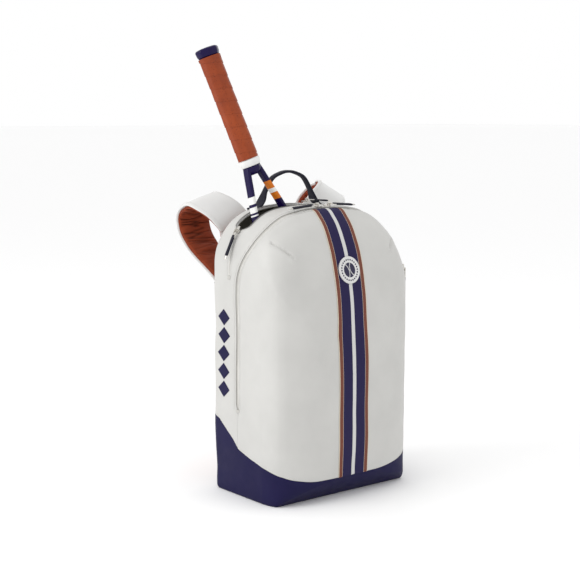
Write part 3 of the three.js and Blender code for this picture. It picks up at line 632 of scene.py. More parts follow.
def relief(points):
    """How far the skin stands in or out of the plain outline, along its normal."""
    x, y, z = points.T
    depth = np.zeros(len(points))
    from_zip = np.abs(y - main_zip_y(z))
    shown = smooth(MAIN_ZIP_END_Z - SEAM_END_FADE, MAIN_ZIP_END_Z + 4, z)
    depth -= ZIP_DIP * bell(from_zip, ZIP_DIP_WIDTH) * shown
    depth += ZIP_SWELL * bell(from_zip - ZIP_SWELL_FROM, ZIP_SWELL_WIDTH) * shown
    for sign in (-1, 1):
        flip = np.array([sign, 1, 1])
        tip, bend, end = DART * flip
        d = np.minimum(distance_to_segment(points, tip, bend), distance_to_segment(points, bend, end))
        depth -= DART_DIP * bell(d, DART_DIP_WIDTH)
        depth += DART_SWELL * bell(d, DART_SWELL_WIDTH)
        depth += TIP_SWELL * bell(np.linalg.norm(points - tip, axis=1), TIP_SWELL_WIDTH)
        below = np.linalg.norm((points - tip - HOLLOW * flip) / HOLLOW_STRETCH, axis=1)
        depth -= HOLLOW_DIP * bell(below, HOLLOW_WIDTH)
    facing = smooth(-20, -60, y)
    flat = np.stack([x, z], 1)
    for start, end, height, width in CREASES:
        d = distance_to_segment(flat, np.array(start, float), np.array(end, float))
        depth += height * bell(d, width) * facing
    soft = wobble(points, 75) * 1.5 + wobble(points, 34, 5.0) * 0.5
    above_floor = smooth(4, 40, z)
    return depth + soft * above_floor


SKIN_STRETCHES = ((88, 78, 8), (78, -20, 46), (-20, -70, 34), (-70, -92, 33))  # from, to, rings
DOME_RINGS = 26


def build_skin():
    stretches = [np.linspace(start, end, count, endpoint=False) for start, end, count in SKIN_STRETCHES]
    rings = [outline(y) for y in [*np.concatenate(stretches), DEPTHS[-1, 0]]]
    last = rings[-1]
    for k in np.linspace(0, 1, DOME_RINGS)[1:-1]:
        ring = last + (DOME_TIP - last) * k
        ring[:, 1] = last[:, 1] + (DOME_TIP[1] - last[:, 1]) * (1 - (1 - k) ** 2)
        rings.append(ring)
    rows, columns = len(rings), len(rings[0])
    points = np.vstack([np.concatenate(rings), DOME_TIP])
    faces = [tuple(f) for f in grid_faces(rows, columns)]
    tip = len(points) - 1
    edge = (rows - 1) * columns
    faces += [(edge + k, edge + (k + 1) % columns, tip) for k in range(columns)]
    faces = np.array(faces)
    n = normals(points, faces)
    if n[tip, 1] > 0:
        faces = faces[:, ::-1]
        n = -n
    return points + n * relief(points)[:, None], faces


skin_points, skin_faces = build_skin()
skin_normals = normals(skin_points, skin_faces)


def patch(name, value, material, offset, thickness, replaced, body="bag"):
    """A piece of the skin where value is at most 0, lifted by offset and given a thickness inwards."""
    lifted = skin_points + skin_normals * offset
    points, faces = clip(lifted, skin_faces, value)
    made = piece(name, points, faces, material, body, replaced)
    thicken(made, thickness)
    return made


x, y, z = skin_points.T
above_boot = boot_edge(y) - z


GROOVE_HALF = 4.2
SLIT_HALF = 0.15


def groove_half(z_values):
    """Half the open width of the main zip's groove, which closes to a slit below the zip's end."""
    return GROOVE_HALF * smooth(MAIN_ZIP_END_Z - 8, MAIN_ZIP_END_Z + 10, z_values) + SLIT_HALF


half_open = groove_half(z)
front_region = y - (main_zip_y(z) - half_open)
gusset_region = (main_zip_y(z) + half_open) - y

MOUTH_LEFT = -(BASE_ARCH.crown + CORNER_R * 0.7)
MOUTH_RIGHT = 6
MOUTH_SQUARENESS = 16
CROWN_HALF = 64.4  # how far the crown reaches to each side


def arch_length(x_values, z_values):
    """Length along the arch from the crown to the points, for the rear of the bag."""
    over = np.abs(x_values)
    on_crown = CROWN_R * np.arctan2(over, z_values - (HEIGHT - CROWN_R))
    corner = np.arctan2(over - BASE_ARCH.corner_x, z_values - BASE_ARCH.high_z)
    on_corner = BASE_ARCH.crown + CORNER_R * (corner - BASE_ARCH.tilt)
    length = np.where(over > CROWN_HALF, on_corner, on_crown)
    on_side = BASE_ARCH.to_side + BASE_ARCH.high_z - z_values
    length = np.where(z_values < BASE_ARCH.high_z, on_side, length)
    return np.sign(x_values) * length


def mouth_half(u):
    t = (u - (MOUTH_LEFT + MOUTH_RIGHT) / 2) / ((MOUTH_RIGHT - MOUTH_LEFT) / 2)
    return MOUTH_HALF * np.maximum(1 - np.abs(t) ** MOUTH_SQUARENESS, 0)


skin_u = arch_length(x, z)
mouth_width = mouth_half(skin_u)
mouth_edge = np.where(mouth_width > 0, mouth_width - np.abs(y - RACKET_ZIP_Y), -5)

JOIN_GAP = 0.2
SHELL_THICK = 2.4
LINING_FRONT_Y = -70
front_shell = patch("front_shell", np.maximum(front_region, above_boot + JOIN_GAP), white_skin, 0, SHELL_THICK,
                    ["front_panel"])
gusset_part = np.maximum.reduce([gusset_region, above_boot + JOIN_GAP, mouth_edge])
gusset_shell = patch("gusset_shell", gusset_part, white_skin, 0, SHELL_THICK, ["gusset"])
boot_shell = patch("boot_shell", -above_boot + JOIN_GAP, navy_skin, 0.3, 2.6, ["boot"])
lining_part = np.maximum.reduce([gusset_region + 3, above_boot + 4, mouth_edge + 0.5, LINING_FRONT_Y - y])
inner_lining = patch("inner_lining", lining_part, lining_cloth, -3.2, 0.8, [])
settle(front_shell, gusset_shell, boot_shell, inner_lining)

# Front stripe, following the skin.
stripe_part = np.maximum.reduce([np.abs(x) - STRIPE_HALF, front_region - 0.6, above_boot - JOIN_GAP, y - 20])
settle(patch("front_stripe_band", stripe_part, stripe_cloth, 0.9, 0.8, ["front_stripe"]))


# ---- Flat shapes draped on the skin ----
SKIN_TREE = BVHTree.FromPolygons(skin_points.tolist(), skin_faces.tolist())


def hit(origin, direction):
    """Where a ray first meets the skin, and the skin's outward normal there."""
    spot, normal, _, _ = SKIN_TREE.ray_cast(Vector(origin), Vector(direction))
    normal = np.array(normal)
    if normal @ np.array(direction) > 0:
        normal = -normal
    return np.array(spot), normal


def on_front(a, b):
    return hit((a, -300, b), (0, 1, 0))


def on_left(a, b):
    return hit((-300, a, b), (1, 0, 0))


def lifted(flat, cast, lift):
    """Flat points cast on the skin and raised from it."""
    hits = [cast(a, b) for a, b in flat]
    return [spot + normal * lift for spot, normal in hits]


ROLLED_EDGE = 0.985


def draped(name, rim, cast, material, base, height, replaced=(), rings=6, keep=None):
    """A low plate with the given outline on the skin; its wall stands from base to base plus height."""
    rim = np.array(rim, float)
    middle = rim.mean(0)
    top = base + height
    flat = [rim, rim, middle + (rim - middle) * ROLLED_EDGE]
    flat += [middle + (rim - middle) * (1 - k / rings) * ROLLED_EDGE for k in range(1, rings)]
    lifts = [base, base + height * 0.7, top] + [top] * (rings - 1)
    points, faces = sweep([lifted(ring, cast, lift) for ring, lift in zip(flat, lifts)])
    if keep is not None:
        plain = np.vstack([np.concatenate(flat), flat[0].mean(0), middle])
        points, faces = clip(points, faces, keep(plain))
    made = piece(name, points, faces, material, "bag", replaced)
    normals_up = normals(points, faces)
    _, outward = cast(*middle)
    if normals_up[faces[:, 0]].mean(0) @ outward < 0:
        made.data.flip_normals()
    return made


def circle(radius, count=64, at=(0, 0)):
    return [(at[0] + radius * math.cos(t), at[1] + radius * math.sin(t))
            for t in np.linspace(0, 2 * math.pi, count, endpoint=False)]


# ---- Badge: a white disc with a raised rim, a ring of dots and a ball with two seams ----
DOTS = 24
DOT_RING_R = 15.6
DOT_R = 1.25
BALL_R = 11.2
BALL_SEAM = (15, 4, 14.5, 0.8)  # the seam circle's centre, radius and half width
BADGE_BASE, BADGE_THICK = 0.6, 2.4
PRINT_BASE = 2.8
BADGE_RIM = ((0, 2.6), (0, 3.2), (0.4, 3.5), (1.0, 3.5), (1.4, 3.2), (1.4, 2.6))  # inset and lift


def badge():
    middle = (0, BADGE_Z)
    disc = draped("badge_disc", circle(BADGE_R, 96, middle), on_front, badge_white, BADGE_BASE,
                  BADGE_THICK, ["badge"], 14)
    rings = [lifted(circle(BADGE_R - inset, 96, middle), on_front, lift) for inset, lift in BADGE_RIM]
    points, faces = sweep(rings, caps=False)
    rim = piece("badge_rim", points, faces, badge_white, "bag")
    settle(disc, rim)
    for i, angle in enumerate(turn(DOTS)):
        at = (DOT_RING_R * math.cos(angle), BADGE_Z + DOT_RING_R * math.sin(angle))
        settle(draped(f"badge_dot_{i + 1}", circle(DOT_R, 12, at), on_front, badge_navy, PRINT_BASE,
                      0.5, (), 2))

    def seams(flat):
        a, b = flat[:, 0], flat[:, 1] - BADGE_Z
        across, up, radius, half = BALL_SEAM
        left = np.abs(np.hypot(a - across, b - up) - radius) - half
        right = np.abs(np.hypot(a + across, b + up) - radius) - half
        return -np.minimum(left, right)

    settle(draped("badge_ball", circle(BALL_R, 96, middle), on_front, badge_navy, PRINT_BASE, 0.6,
                  (), 24, seams))


badge()

# ---- Side graphic: a plain column of lozenges ----
LOZENGES = 5
LOZENGE_PITCH = 28.5
LOZENGE_LOW_Z = 166
LOZENGE_Y = 57
LOZENGE_REACH = (15.5, 13)  # half its width and half its height


def lozenges():
    for i in range(LOZENGES):
        level = LOZENGE_LOW_Z + i * LOZENGE_PITCH
        wide, high = LOZENGE_REACH
        corners = [(LOZENGE_Y + wide, level), (LOZENGE_Y, level + high),
                   (LOZENGE_Y - wide, level), (LOZENGE_Y, level - high)]
        rim = []
        for start, end in zip(corners, corners[1:] + corners[:1]):
            rim += [(start[0] + (end[0] - start[0]) * t, start[1] + (end[1] - start[1]) * t)
                    for t in np.linspace(0, 1, 8, endpoint=False)]
        settle(draped(f"side_lozenge_{i + 1}", rim, on_left, navy_skin, 0.1, 0.4, (), 4))


lozenges()


# ---- Helpers for the parts on the skin ----
def orthonormal(tangent, hint):
    across = hint - (hint @ tangent) * tangent
    across /= np.linalg.norm(across)
    return across, np.cross(across, tangent)


def skin_path(us, depth_at):
    """Frames on the plain outline along the arch; depth_at gives the depth from place and height."""
    return [bag_frame(u, depth_at(u, BASE_ARCH.at(u)[1])) for u in us]


TOOTH_PITCH = 1.5
TOOTH_SECTION = ((-1, 0), (-0.7, 0.8), (0, 1), (0.7, 0.8), (1, 0))


def coil_run(name, us, depth_at, size, lift, material, replaced):
    """A run of zip teeth: a low ridge whose sides step in and out for each tooth."""
    width, height = size
    count = int(abs(us[1] - us[0]) / TOOTH_PITCH) * 2
    rings = []
    for i, u in enumerate(np.linspace(us[0], us[1], count)):
        spot, _, across, normal = skin_path([u], depth_at)[0]
        spot = spot + normal * (relief(spot[None])[0] + lift)
        half = width / 2 * (1.0 if i % 2 else 0.72)
        top = height * (1.0 if i % 2 else 0.55)
        rings.append([spot + across * a * half + normal * b * top for a, b in TOOTH_SECTION])
    settle(solid(name, rings, material, "bag", replaced, smooth_shading=False))


THREAD_R = 0.32
STITCH_TAPER = ((-1, 0.35), (-0.6, 1), (0.6, 1), (1, 0.35))  # place along half a stitch, and thickness


def stitch_row(name, spots, directions, ups, material, body="bag", pitch=3.6):
    """Short raised stitches laid end to end along a line of evenly spaced spots."""
    points, faces = [], []
    spots = np.array(spots)
    lengths = np.concatenate([[0], np.cumsum(np.linalg.norm(np.diff(spots, axis=0), axis=1))])
    count = max(2, int(lengths[-1] / pitch))
    for i in range(count):
        where = (i + 0.5) * lengths[-1] / count
        at = np.array([np.interp(where, lengths, spots[:, k]) for k in range(3)])
        nearest = int(np.argmin(np.abs(lengths - where)))
        along, up = directions[nearest], ups[nearest]
        side = np.cross(along, up)
        start = len(points)
        half = pitch * 0.36
        for t, r in STITCH_TAPER:
            for a, b in ((-1, 0), (0, 1), (1, 0), (0, -1)):
                points.append(at + along * (half * t) + (side * a + up * b) * THREAD_R * r)
        for row in range(3):
            for k in range(4):
                m = (k + 1) % 4
                a, b = start + row * 4 + k, start + row * 4 + m
                faces.append((a, b, b + 4, a + 4))
        faces.append((start + 3, start + 2, start + 1, start))
        faces.append((start + 12, start + 13, start + 14, start + 15))
    settle(piece(name, points, faces, material, body))


def skin_stitches(name, us, depth_at, material, lift=0.15):
    frames = skin_path(us, depth_at)
    spots = np.array([f[0] for f in frames])
    ups = np.array([f[3] for f in frames])
    spots = spots + ups * (relief(spots)[:, None] + lift)
    stitch_row(name, spots, [f[1] for f in frames], ups, material)


thread_white = plastic("white_thread", (0.62, 0.61, 0.58), rough=0.6, variation=0.12, scale=900)
thread_navy = plastic("navy_thread", (0.03, 0.03, 0.07), rough=0.6, variation=0.2, scale=900)
thread_clay = plastic("clay_thread", (0.2, 0.06, 0.03), rough=0.6, variation=0.2, scale=900)

# ---- Main zip: a pale sunken tape and coil between the front and the gusset ----
in_groove = np.abs(y - main_zip_y(z)) - (half_open + 2.5)
tape_part = np.maximum.reduce([in_groove, MAIN_ZIP_END_Z - 6 - z, above_boot])
settle(patch("main_zip_tape_band", tape_part, tape_cloth, -1.5, 0.7, ["main_zip_tape"]))


def along_main_zip(u, height):
    return float(main_zip_y(height))


MAIN_END_U = u_at_height(MAIN_ZIP_END_Z + 3)
coil_run("main_zip_coil_teeth", (-MAIN_END_U, MAIN_END_U), along_main_zip, (4.4, 0.9), -1.5, coil_pale,
         ["main_zip_coil"])
main_us = np.linspace(-MAIN_END_U, MAIN_END_U, 700)
for label, away in (("front", -7.5), ("rear", 7.5)):
    skin_stitches("main_zip_stitches_" + label, main_us,
                  lambda u, h, away=away: along_main_zip(u, h) + away, thread_white)


def bar_tack(name, u, depth, replaced, material, length=5, width=9):
    """A small rounded tab sewn across the end of a zip."""
    spot, along, across, normal = bag_frame(u, depth)
    spot = spot + normal * (relief(spot[None])[0] + 0.2)
    rings = []
    for t in np.linspace(-1, 1, 15):
        reach = (1 - abs(t) ** 6) ** 0.5
        section = []
        for angle in turn(16):
            a, b = superellipse(angle, 0.6, 0.8)
            a = a * width / 2 * (0.6 + 0.4 * reach)
            b = b * max(reach, 0.05)
            section.append(spot + along * t * length / 2 + across * a + normal * (b + 0.3))
        rings.append(section)
    settle(solid(name, rings, material, "bag", replaced))


for label, sign in (("left", -1), ("right", 1)):
    bar_tack("main_zip_end_" + label, sign * (MAIN_END_U + 4), along_main_zip(0, MAIN_ZIP_END_Z),
             ["main_zip_tab_" + label], tape_cloth)

# ---- Racket zip: closed coil at both ends, and open teeth along the mouth's lips ----
RACKET_END_U = u_at_height(348)
COIL_SIZE = (4.6, 0.9)
COIL_LIFT = 0.2


def racket_depth(u, height):
    return RACKET_ZIP_Y


for label, ends in (("left", (-RACKET_END_U, MOUTH_LEFT - 2)), ("right", (MOUTH_RIGHT + 2, RACKET_END_U))):
    coil_run("racket_coil_" + label, ends, racket_depth, COIL_SIZE, COIL_LIFT, coil_pale,
             ["racket_zip_coil_" + label])
for label, way in (("front", -1), ("back", 1)):
    coil_run("racket_open_teeth_" + label, (MOUTH_LEFT, MOUTH_RIGHT),
             lambda u, h, way=way: RACKET_ZIP_Y + way * (float(mouth_half(u)) + 1.8), (2.6, 1.1), COIL_LIFT,
             coil_dark, ["racket_zip_teeth_" + label])
    skin_stitches("racket_zip_stitches_" + label, np.linspace(-RACKET_END_U, RACKET_END_U, 500),
                  lambda u, h, way=way: RACKET_ZIP_Y + way * (float(mouth_half(u)) + 5.5), thread_white)
for label, sign in (("left", -1), ("right", 1)):
    bar_tack("racket_zip_end_" + label, sign * (RACKET_END_U + 4), RACKET_ZIP_Y, ["racket_zip_tab_" + label],
             tape_cloth, length=6, width=8)

# ---- Side pocket zip ----
SIDE_ZIP_Y = -49
SIDE_ZIP_Z = (150, 378)
coil_run("side_zip_teeth", (u_at_height(SIDE_ZIP_Z[1]), u_at_height(SIDE_ZIP_Z[0])), lambda u, h: SIDE_ZIP_Y,
         COIL_SIZE, COIL_LIFT, coil_black, ["side_zip_coil"])
side_us = np.linspace(u_at_height(SIDE_ZIP_Z[1] + 6), u_at_height(SIDE_ZIP_Z[0] - 4), 200)
for label, away in (("front", -5.5), ("rear", 5.5)):
    skin_stitches("side_zip_stitches_" + label, side_us, lambda u, h, away=away: SIDE_ZIP_Y + away,
                  thread_white)


# ---- Sliders keep their solids, with rounded edges; each pull is a sewn sleeve with a metal tip ----
def node(name):
    return frame["nodes"][name]


def round_edges(name, width, material, segments=3):
    made = node(name)
    bevel = made.modifiers.new("rounded", "BEVEL")
    bevel.width = width * MM
    bevel.segments = segments
    bevel.limit_method = "ANGLE"
    dress(name, material)


def dress(name, material):
    made = node(name)
    made.data.materials.clear()
    made.data.materials.append(material)


def centre_of(name):
    low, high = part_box(name)
    return (np.array(low) + np.array(high)) / 2 / MM


def pull_frame(prefix):
    """The pull's pin, its direction and its upward normal, from the joint that lifts it."""
    joint = next(j for j in frame["record"]["behaviour"]["joints"] if j["name"] == prefix + "_pull_lift")
    pin = np.array(joint["pos_m"]) / MM
    axis = -np.array(joint["axis"], float)
    axis /= np.linalg.norm(axis)
    direction = centre_of(prefix + "_pull_tab") - pin
    direction -= (direction @ axis) * axis
    direction /= np.linalg.norm(direction)
    return pin, direction, axis, np.cross(direction, axis)


SLEEVE_START = 8
SLEEVE_HALF = (3.1, 1.5)
TIP_LENGTH = 7
TIP_OVERLAP = 1.5
TIP_HALF = (2.5, 1.2)


def pull(prefix, length, material, tip_material):
    """A pull's sewn sleeve, which starts clear of the slider, and the metal tip clamped on its end."""
    pin, along, side, up = pull_frame(prefix)
    sleeve_end = length - TIP_LENGTH
    rings = []
    for t in np.linspace(0, 1, 26):
        at = pin + along * (SLEEVE_START + (sleeve_end - SLEEVE_START) * t)
        ease = min(1, math.sqrt(max(1 - abs(2 * t - 1) ** 14, 0.02)))
        wide = SLEEVE_HALF[0] * (0.75 + 0.25 * ease)
        thick = SLEEVE_HALF[1] * (0.6 + 0.4 * ease) * (1 + 0.06 * math.sin(t * 9))
        section = [superellipse(angle, 0.55, 0.75) for angle in turn(20)]
        rings.append([at + side * (a * wide) + up * (b * thick) for a, b in section])
    sleeve = solid(prefix + "_sleeve", rings, material, prefix + "_pull", [prefix + "_pull_tab"])
    rings = []
    for t in np.linspace(0, 1, 14):
        at = pin + along * (sleeve_end - TIP_OVERLAP + (TIP_LENGTH + TIP_OVERLAP) * t)
        ease = math.sqrt(max(1 - t ** 5, 0.01))
        rings.append([at + side * (TIP_HALF[0] * ease * math.cos(a)) + up * (TIP_HALF[1] * ease * math.sin(a))
                      for a in turn(16)])
    tip = solid(prefix + "_tip", rings, tip_material, prefix + "_pull")
    settle(sleeve, tip)


PULLS = {
    "main_left": 56,
    "main_right": 56,
    "racket_left": 50,
    "racket_right": 50,
    "side": 52,
}
for prefix, length in PULLS.items():
    black = prefix == "side"
    round_edges(prefix + "_slider", 0.5, metal)
    round_edges(prefix + "_tongue", 0.3, metal)
    pull(prefix, length, black_rubber if black else web_cloth, metal)


# ---- Grab handle: one webbing from foot to foot ----
HANDLE_Y = 72
HANDLE_HALF = [(-75, -9.6), (-63, -7), (-54, 2), (-45, 20), (-32, 38), (-14, 46), (0, 48)]


def webbing_ring(spot, across, normal, half, thickness):
    """A webbing's cross-section with rolled edges."""
    section = [superellipse(angle, 0.35, 0.6) for angle in turn(24)]
    return [spot + across * (a * half) + normal * (b * thickness / 2) for a, b in section]


HANDLE_LEVEL = HEIGHT + 2.6
HANDLE_GRIP_HALF, HANDLE_GRIP_THICK = 5.6, 4.5
FOOT_HALF, FOOT_THICK = 10.2, 3.6
FOOT_STITCHES = ((73, 446.6), (61, 449.6))  # both ends of a row, out from the middle and up


def grab_handle():
    full = HANDLE_HALF + [(-a, b) for a, b in reversed(HANDLE_HALF[:-1])]
    rings = []
    for spot, tangent in zip(*spline([(a, HANDLE_Y, HANDLE_LEVEL + b) for a, b in full], 90)):
        wide = float(1 - smooth(456, 474, spot[2]))
        across, normal = orthonormal(tangent, np.array([0, 1.0, 0]))
        half = HANDLE_GRIP_HALF + (FOOT_HALF - HANDLE_GRIP_HALF) * wide
        thickness = FOOT_THICK + (HANDLE_GRIP_THICK - FOOT_THICK) * (1 - wide)
        rings.append(webbing_ring(spot, across, normal, half, thickness))
    made = solid("grab_handle_webbing", rings, web_cloth, "bag",
                 ["grab_handle", "handle_foot_left", "handle_foot_right"])
    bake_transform(made)
    for label, sign in (("left", -1), ("right", 1)):
        for row in (-7.5, 7.5):
            low, high = (np.array([sign * reach, HANDLE_Y + row, level]) for reach, level in FOOT_STITCHES)
            line = np.linspace(low, high, 12)
            along = (high - low) / np.linalg.norm(high - low)
            up = np.array([along[2] * sign, 0, abs(along[0])])
            line[:, 2] += 2.0
            place = "front" if row < 0 else "rear"
            stitch_row(f"handle_stitches_{label}_{place}", line, [along] * 12, [up] * 12, thread_navy,
                       pitch=2.4)


grab_handle()

# ---- Shoulder straps ----
STRAP_ROUTES = {  # middle of each pad, and how far its outer edge droops in degrees
    "left": [
        (-74, 108, 401, 0), (-80, 109, 422, 5), (-94, 116, 440, 11), (-106, 129, 452, 15),
        (-114, 148, 459, 16), (-113, 168, 453, 14), (-110, 184, 439, 10), (-106, 190, 420, 5),
        (-104, 184, 398, 0), (-101, 164, 374, 0), (-98, 139, 350, 0), (-94, 120, 332, 0),
    ],
    "right": [
        (74, 108, 401, 0), (85, 108, 425, 11), (105, 108, 445, 19), (123, 111, 459, 25),
        (136, 125, 465, 27), (136, 145, 462, 24), (129, 163, 447, 16), (120, 170, 424, 8),
        (111, 170, 399, 0), (101, 155, 374, 0), (98, 136, 351, 0), (94, 120, 332, 0),
    ],
}
STRAP_HALF = 32
STRAP_NARROWING = 0.34
PANEL_FACE = 97.3
LOCK = np.array([94, 112, 318.0])


def strap_frames(route, count):
    """Evenly spaced frames down a strap: spot, tangent, width direction, outward normal, half width."""
    outwards = math.copysign(1, route[0][0])
    spots, tangents = spline([r[:3] for r in route], count)
    knots = np.array([r[:3] for r in route], float)
    at = np.concatenate([[0], np.cumsum(np.linalg.norm(np.diff(knots, axis=0), axis=1))])
    frames = []
    for i, (spot, tangent) in enumerate(zip(spots, tangents)):
        t = i / (count - 1)
        droop = math.radians(np.interp(t * at[-1], at, [r[3] for r in route]))
        hint = np.array([math.cos(droop), 0, -outwards * math.sin(droop)])
        across, normal = orthonormal(tangent, hint)
        half = STRAP_HALF * (1 - STRAP_NARROWING * float(smooth(0.72, 1, t)))
        frames.append((spot, tangent, across, normal, half))
    return frames


PAD_HALF = 4.4
LINING_HALF = 3.3
LINING_DEPTH = 6.0
LINING_INSET = 3.0
GATHER = 4.5
FOLD_LENGTH = 12
CREASE_LENGTH, CREASE_WIDTH, CREASE_DEPTH = 9, 0.11, 3.4
PIPING_R = 0.9
PIPING_INSET, PIPING_DEPTH = 3.2, 4.0
PAD_STITCH_INSET, PAD_STITCH_LIFT = 5, 3.25


def closed_ends(t):
    """A strap's thickness along it, which closes at both ends."""
    return math.sqrt(max(1 - abs(2 * t - 1) ** 40, 0.05))


def strap_pad(side, frames):
    """The white padded outside: crowned, with thinner edges and a few soft dents."""
    rings = []
    for i, (spot, _, across, normal, half) in enumerate(frames):
        closing = closed_ends(i / (len(frames) - 1))
        ring = []
        for angle in turn(40):
            a, b = superellipse(angle, 0.5, 0.75)
            edge = 1 - 0.45 * abs(a) ** 3
            ring.append(spot + across * a * half + normal * (b * PAD_HALF * edge * closing - 0.6))
        rings.append(ring)
    points, faces = sweep(rings)
    faces = facing_out(points, faces)
    points = points + normals(points, faces) * (wobble(points, 26, 3.0) * 0.7)[:, None]
    made = piece(f"strap_{side}_outer", points, faces, strap_skin, "strap_" + side,
                 ["strap_pad_" + side])
    return made


def strap_lining(side, frames):
    """The clay inside: a softer pad gathered into wrinkles that fan across it."""
    rings = []
    painted_crease_shade = []
    length = 0
    for i, (spot, _, across, normal, half) in enumerate(frames):
        if i:
            length += np.linalg.norm(spot - frames[i - 1][0])
        t = i / (len(frames) - 1)
        bent = math.sin(math.pi * min(1, max(0, (t - 0.12) / 0.8)))
        ring = []
        for angle in turn(48):
            a, b = superellipse(angle, 0.5, 0.75)
            inner = max(-b, 0)
            fold = noise.noise(Vector((a * 0.9, length / FOLD_LENGTH + a * 0.7, 4.0 + len(side))))
            ripple = noise.noise(Vector((a * 0.55, length / CREASE_LENGTH - a * 0.4, 9.0)))
            crease = math.exp(-((ripple / CREASE_WIDTH) ** 2))
            crease *= inner * bent * (1 - 0.7 * abs(a) ** 8)
            depth = b * LINING_HALF * closed_ends(t) * (1 - 0.35 * abs(a) ** 4)
            swell = inner * (1.0 + GATHER * fold) * bent * (1 - 0.6 * abs(a) ** 6) - CREASE_DEPTH * crease
            # Each crease's strength is also kept as painted shade, darkening the lining's colour in its folds.
            painted_crease_shade.append(crease)
            ring.append(spot + across * a * (half - LINING_INSET) + normal * (depth - LINING_DEPTH - swell))
        rings.append(ring)
    made = solid(f"strap_{side}_inner", rings, crease_shaded_lining_cloth, "strap_" + side,
                 ["strap_lining_" + side])
    # The fold attribute carries that painted crease shade to the lining's material.
    fold = made.data.attributes.new("fold", "FLOAT", "POINT")
    fold.data.foreach_set("value", painted_crease_shade + [0.0] * (len(made.data.vertices) - len(painted_crease_shade)))
    return made


def strap_piping(side, frames, way):
    """A thin clay edge binding between the two faces."""
    rings = []
    for spot, _, across, normal, half in frames:
        middle = spot + across * way * (half - PIPING_INSET) - normal * PIPING_DEPTH
        rings.append([middle + across * PIPING_R * math.cos(a) + normal * PIPING_R * math.sin(a)
                      for a in np.linspace(0, 2 * math.pi, 10, endpoint=False)])
    label = "inner" if way * frames[0][0][0] < 0 else "outer"
    return solid(f"strap_{side}_piping_{label}", rings, clay_cloth, "strap_" + side)


def strap_stitches(side, frames, way):
    stitched = frames[4:-4]
    spots = [spot + across * way * (half - PAD_STITCH_INSET) + normal * PAD_STITCH_LIFT
             for spot, _, across, normal, half in stitched]
    label = "a" if way < 0 else "b"
    stitch_row(f"strap_{side}_stitches_{label}", spots, [f[1] for f in stitched], [f[3] for f in stitched],
               thread_white, body="strap_" + side, pitch=3.4)


def rounded_corners(corners, soft):
    """A flat outline whose corners are cut back by soft and joined with curves."""
    outline_points = []
    count = len(corners)
    for i in range(count):
        before, here, after = corners[i - 1], corners[i], corners[(i + 1) % count]
        cut = min(soft, np.linalg.norm(before - here) / 2.1, np.linalg.norm(after - here) / 2.1)
        a = here + (before - here) / np.linalg.norm(before - here) * cut
        b = here + (after - here) / np.linalg.norm(after - here) * cut
        for t in np.linspace(0, 1, 7):
            outline_points.append((1 - t) ** 2 * a + 2 * t * (1 - t) * here + t * t * b)
    return np.array(outline_points)


def evenly_spaced(loop, longest=4):
    """A closed loop with points added so that no side is much longer than the given length."""
    spaced = []
    for i in range(len(loop)):
        start, end = loop[i], loop[(i + 1) % len(loop)]
        steps = max(1, int(np.linalg.norm(end - start) / longest))
        spaced += [start + (end - start) * k / steps for k in range(steps)]
    return np.array(spaced)


SLAB_EDGE = ((1.5, 0), (0.4, 0.15), (0, 0.5), (0.4, 0.85), (1.6, 1), (3, 1))  # inset, and rise out of 1


def slab(name, corners, y0, thickness, material, replaced, soft=6, puff=0.8):
    """A sewn plate lying on the back: rounded corners, rolled edges and a slightly puffed face."""
    dense = evenly_spaced(rounded_corners(np.array(corners, float), soft))
    middle = dense.mean(0)
    size = np.abs(dense - middle).max(0).min()
    rings = []
    for inset, rise in SLAB_EDGE + ((0.35 * size, 1), (0.7 * size, 1)):
        scale = 1 - inset / size
        flat = middle + (dense - middle) * scale
        bulge = puff * (1 - scale ** 4) if rise == 1 else 0
        rings.append([(a, y0 + thickness * rise + bulge, b) for a, b in flat])
    points, faces = sweep(rings)
    faces = facing_out(points, faces)
    face = points[:, 1] > y0 + thickness * 0.9
    points[:, 1] += np.where(face, wobble(points, 22, 1.0) * 0.35, 0)
    settle(piece(name, points, faces, material, "bag", replaced))
    return dense, middle


BACKWARDS = np.array([0, 1.0, 0])


def slab_stitches(name, dense, middle, y_level, inset, material):
    size = np.abs(dense - middle).max(0).min()
    loop = middle + (dense - middle) * (1 - inset / size)
    loop = np.vstack([loop, loop[:1]])
    spots = np.stack([loop[:, 0], np.full(len(loop), y_level), loop[:, 1]], 1)
    stitch_row(name, spots, unit_rows(np.gradient(spots, axis=0)), [BACKWARDS] * len(spots), material,
               pitch=3.2)


SEAM_X = 74
SEAM_HALF = 1.6
SEAM_FOOT_Z = 372.0
SEAM_FOOT_HALF = 26.0
UPRIGHT = np.array([0, 0, 1.0])
SIDEWISE = np.array([1.0, 0, 0])


def strap_seam(side, sign, frames):
    """The strap's sewn end: it runs from under the root plate up into the pad, and bends with the strap."""
    spot, tangent, across, normal, half = frames[5]
    foot = np.array([sign * SEAM_X, PANEL_FACE + 2.2, SEAM_FOOT_Z])
    head = spot - normal * 1.2
    rings = []
    for t in np.linspace(0, 1, 20):
        k = float(smooth(0, 1, t))
        middle = foot + (head - foot) * t
        middle[1] = foot[1] + (head[1] - foot[1]) * k
        wide, face = orthonormal(UPRIGHT + (tangent - UPRIGHT) * k, SIDEWISE + (across - SIDEWISE) * k)
        reach = SEAM_FOOT_HALF + (half - 4 - SEAM_FOOT_HALF) * k
        section = [superellipse(a, 0.4, 0.6) for a in np.linspace(0, 2 * math.pi, 32, endpoint=False)]
        rings.append([middle + wide * a * reach + face * (SEAM_HALF * b) for a, b in section])
    made = solid(f"strap_{side}_seam", rings, clay_cloth, "strap_" + side)
    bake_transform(made)
    settle(made)


PLATE_BASE_Y = PANEL_FACE - 0.8
ROOT_BOX = ((43, 364), (104, 386))
WING_CORNERS = ((116, 14), (88, 14), (92, 58), (116, 58))
WEB_HALF, WEB_THICK = 12.4, 1.5
LOCK_TILT = 0.5


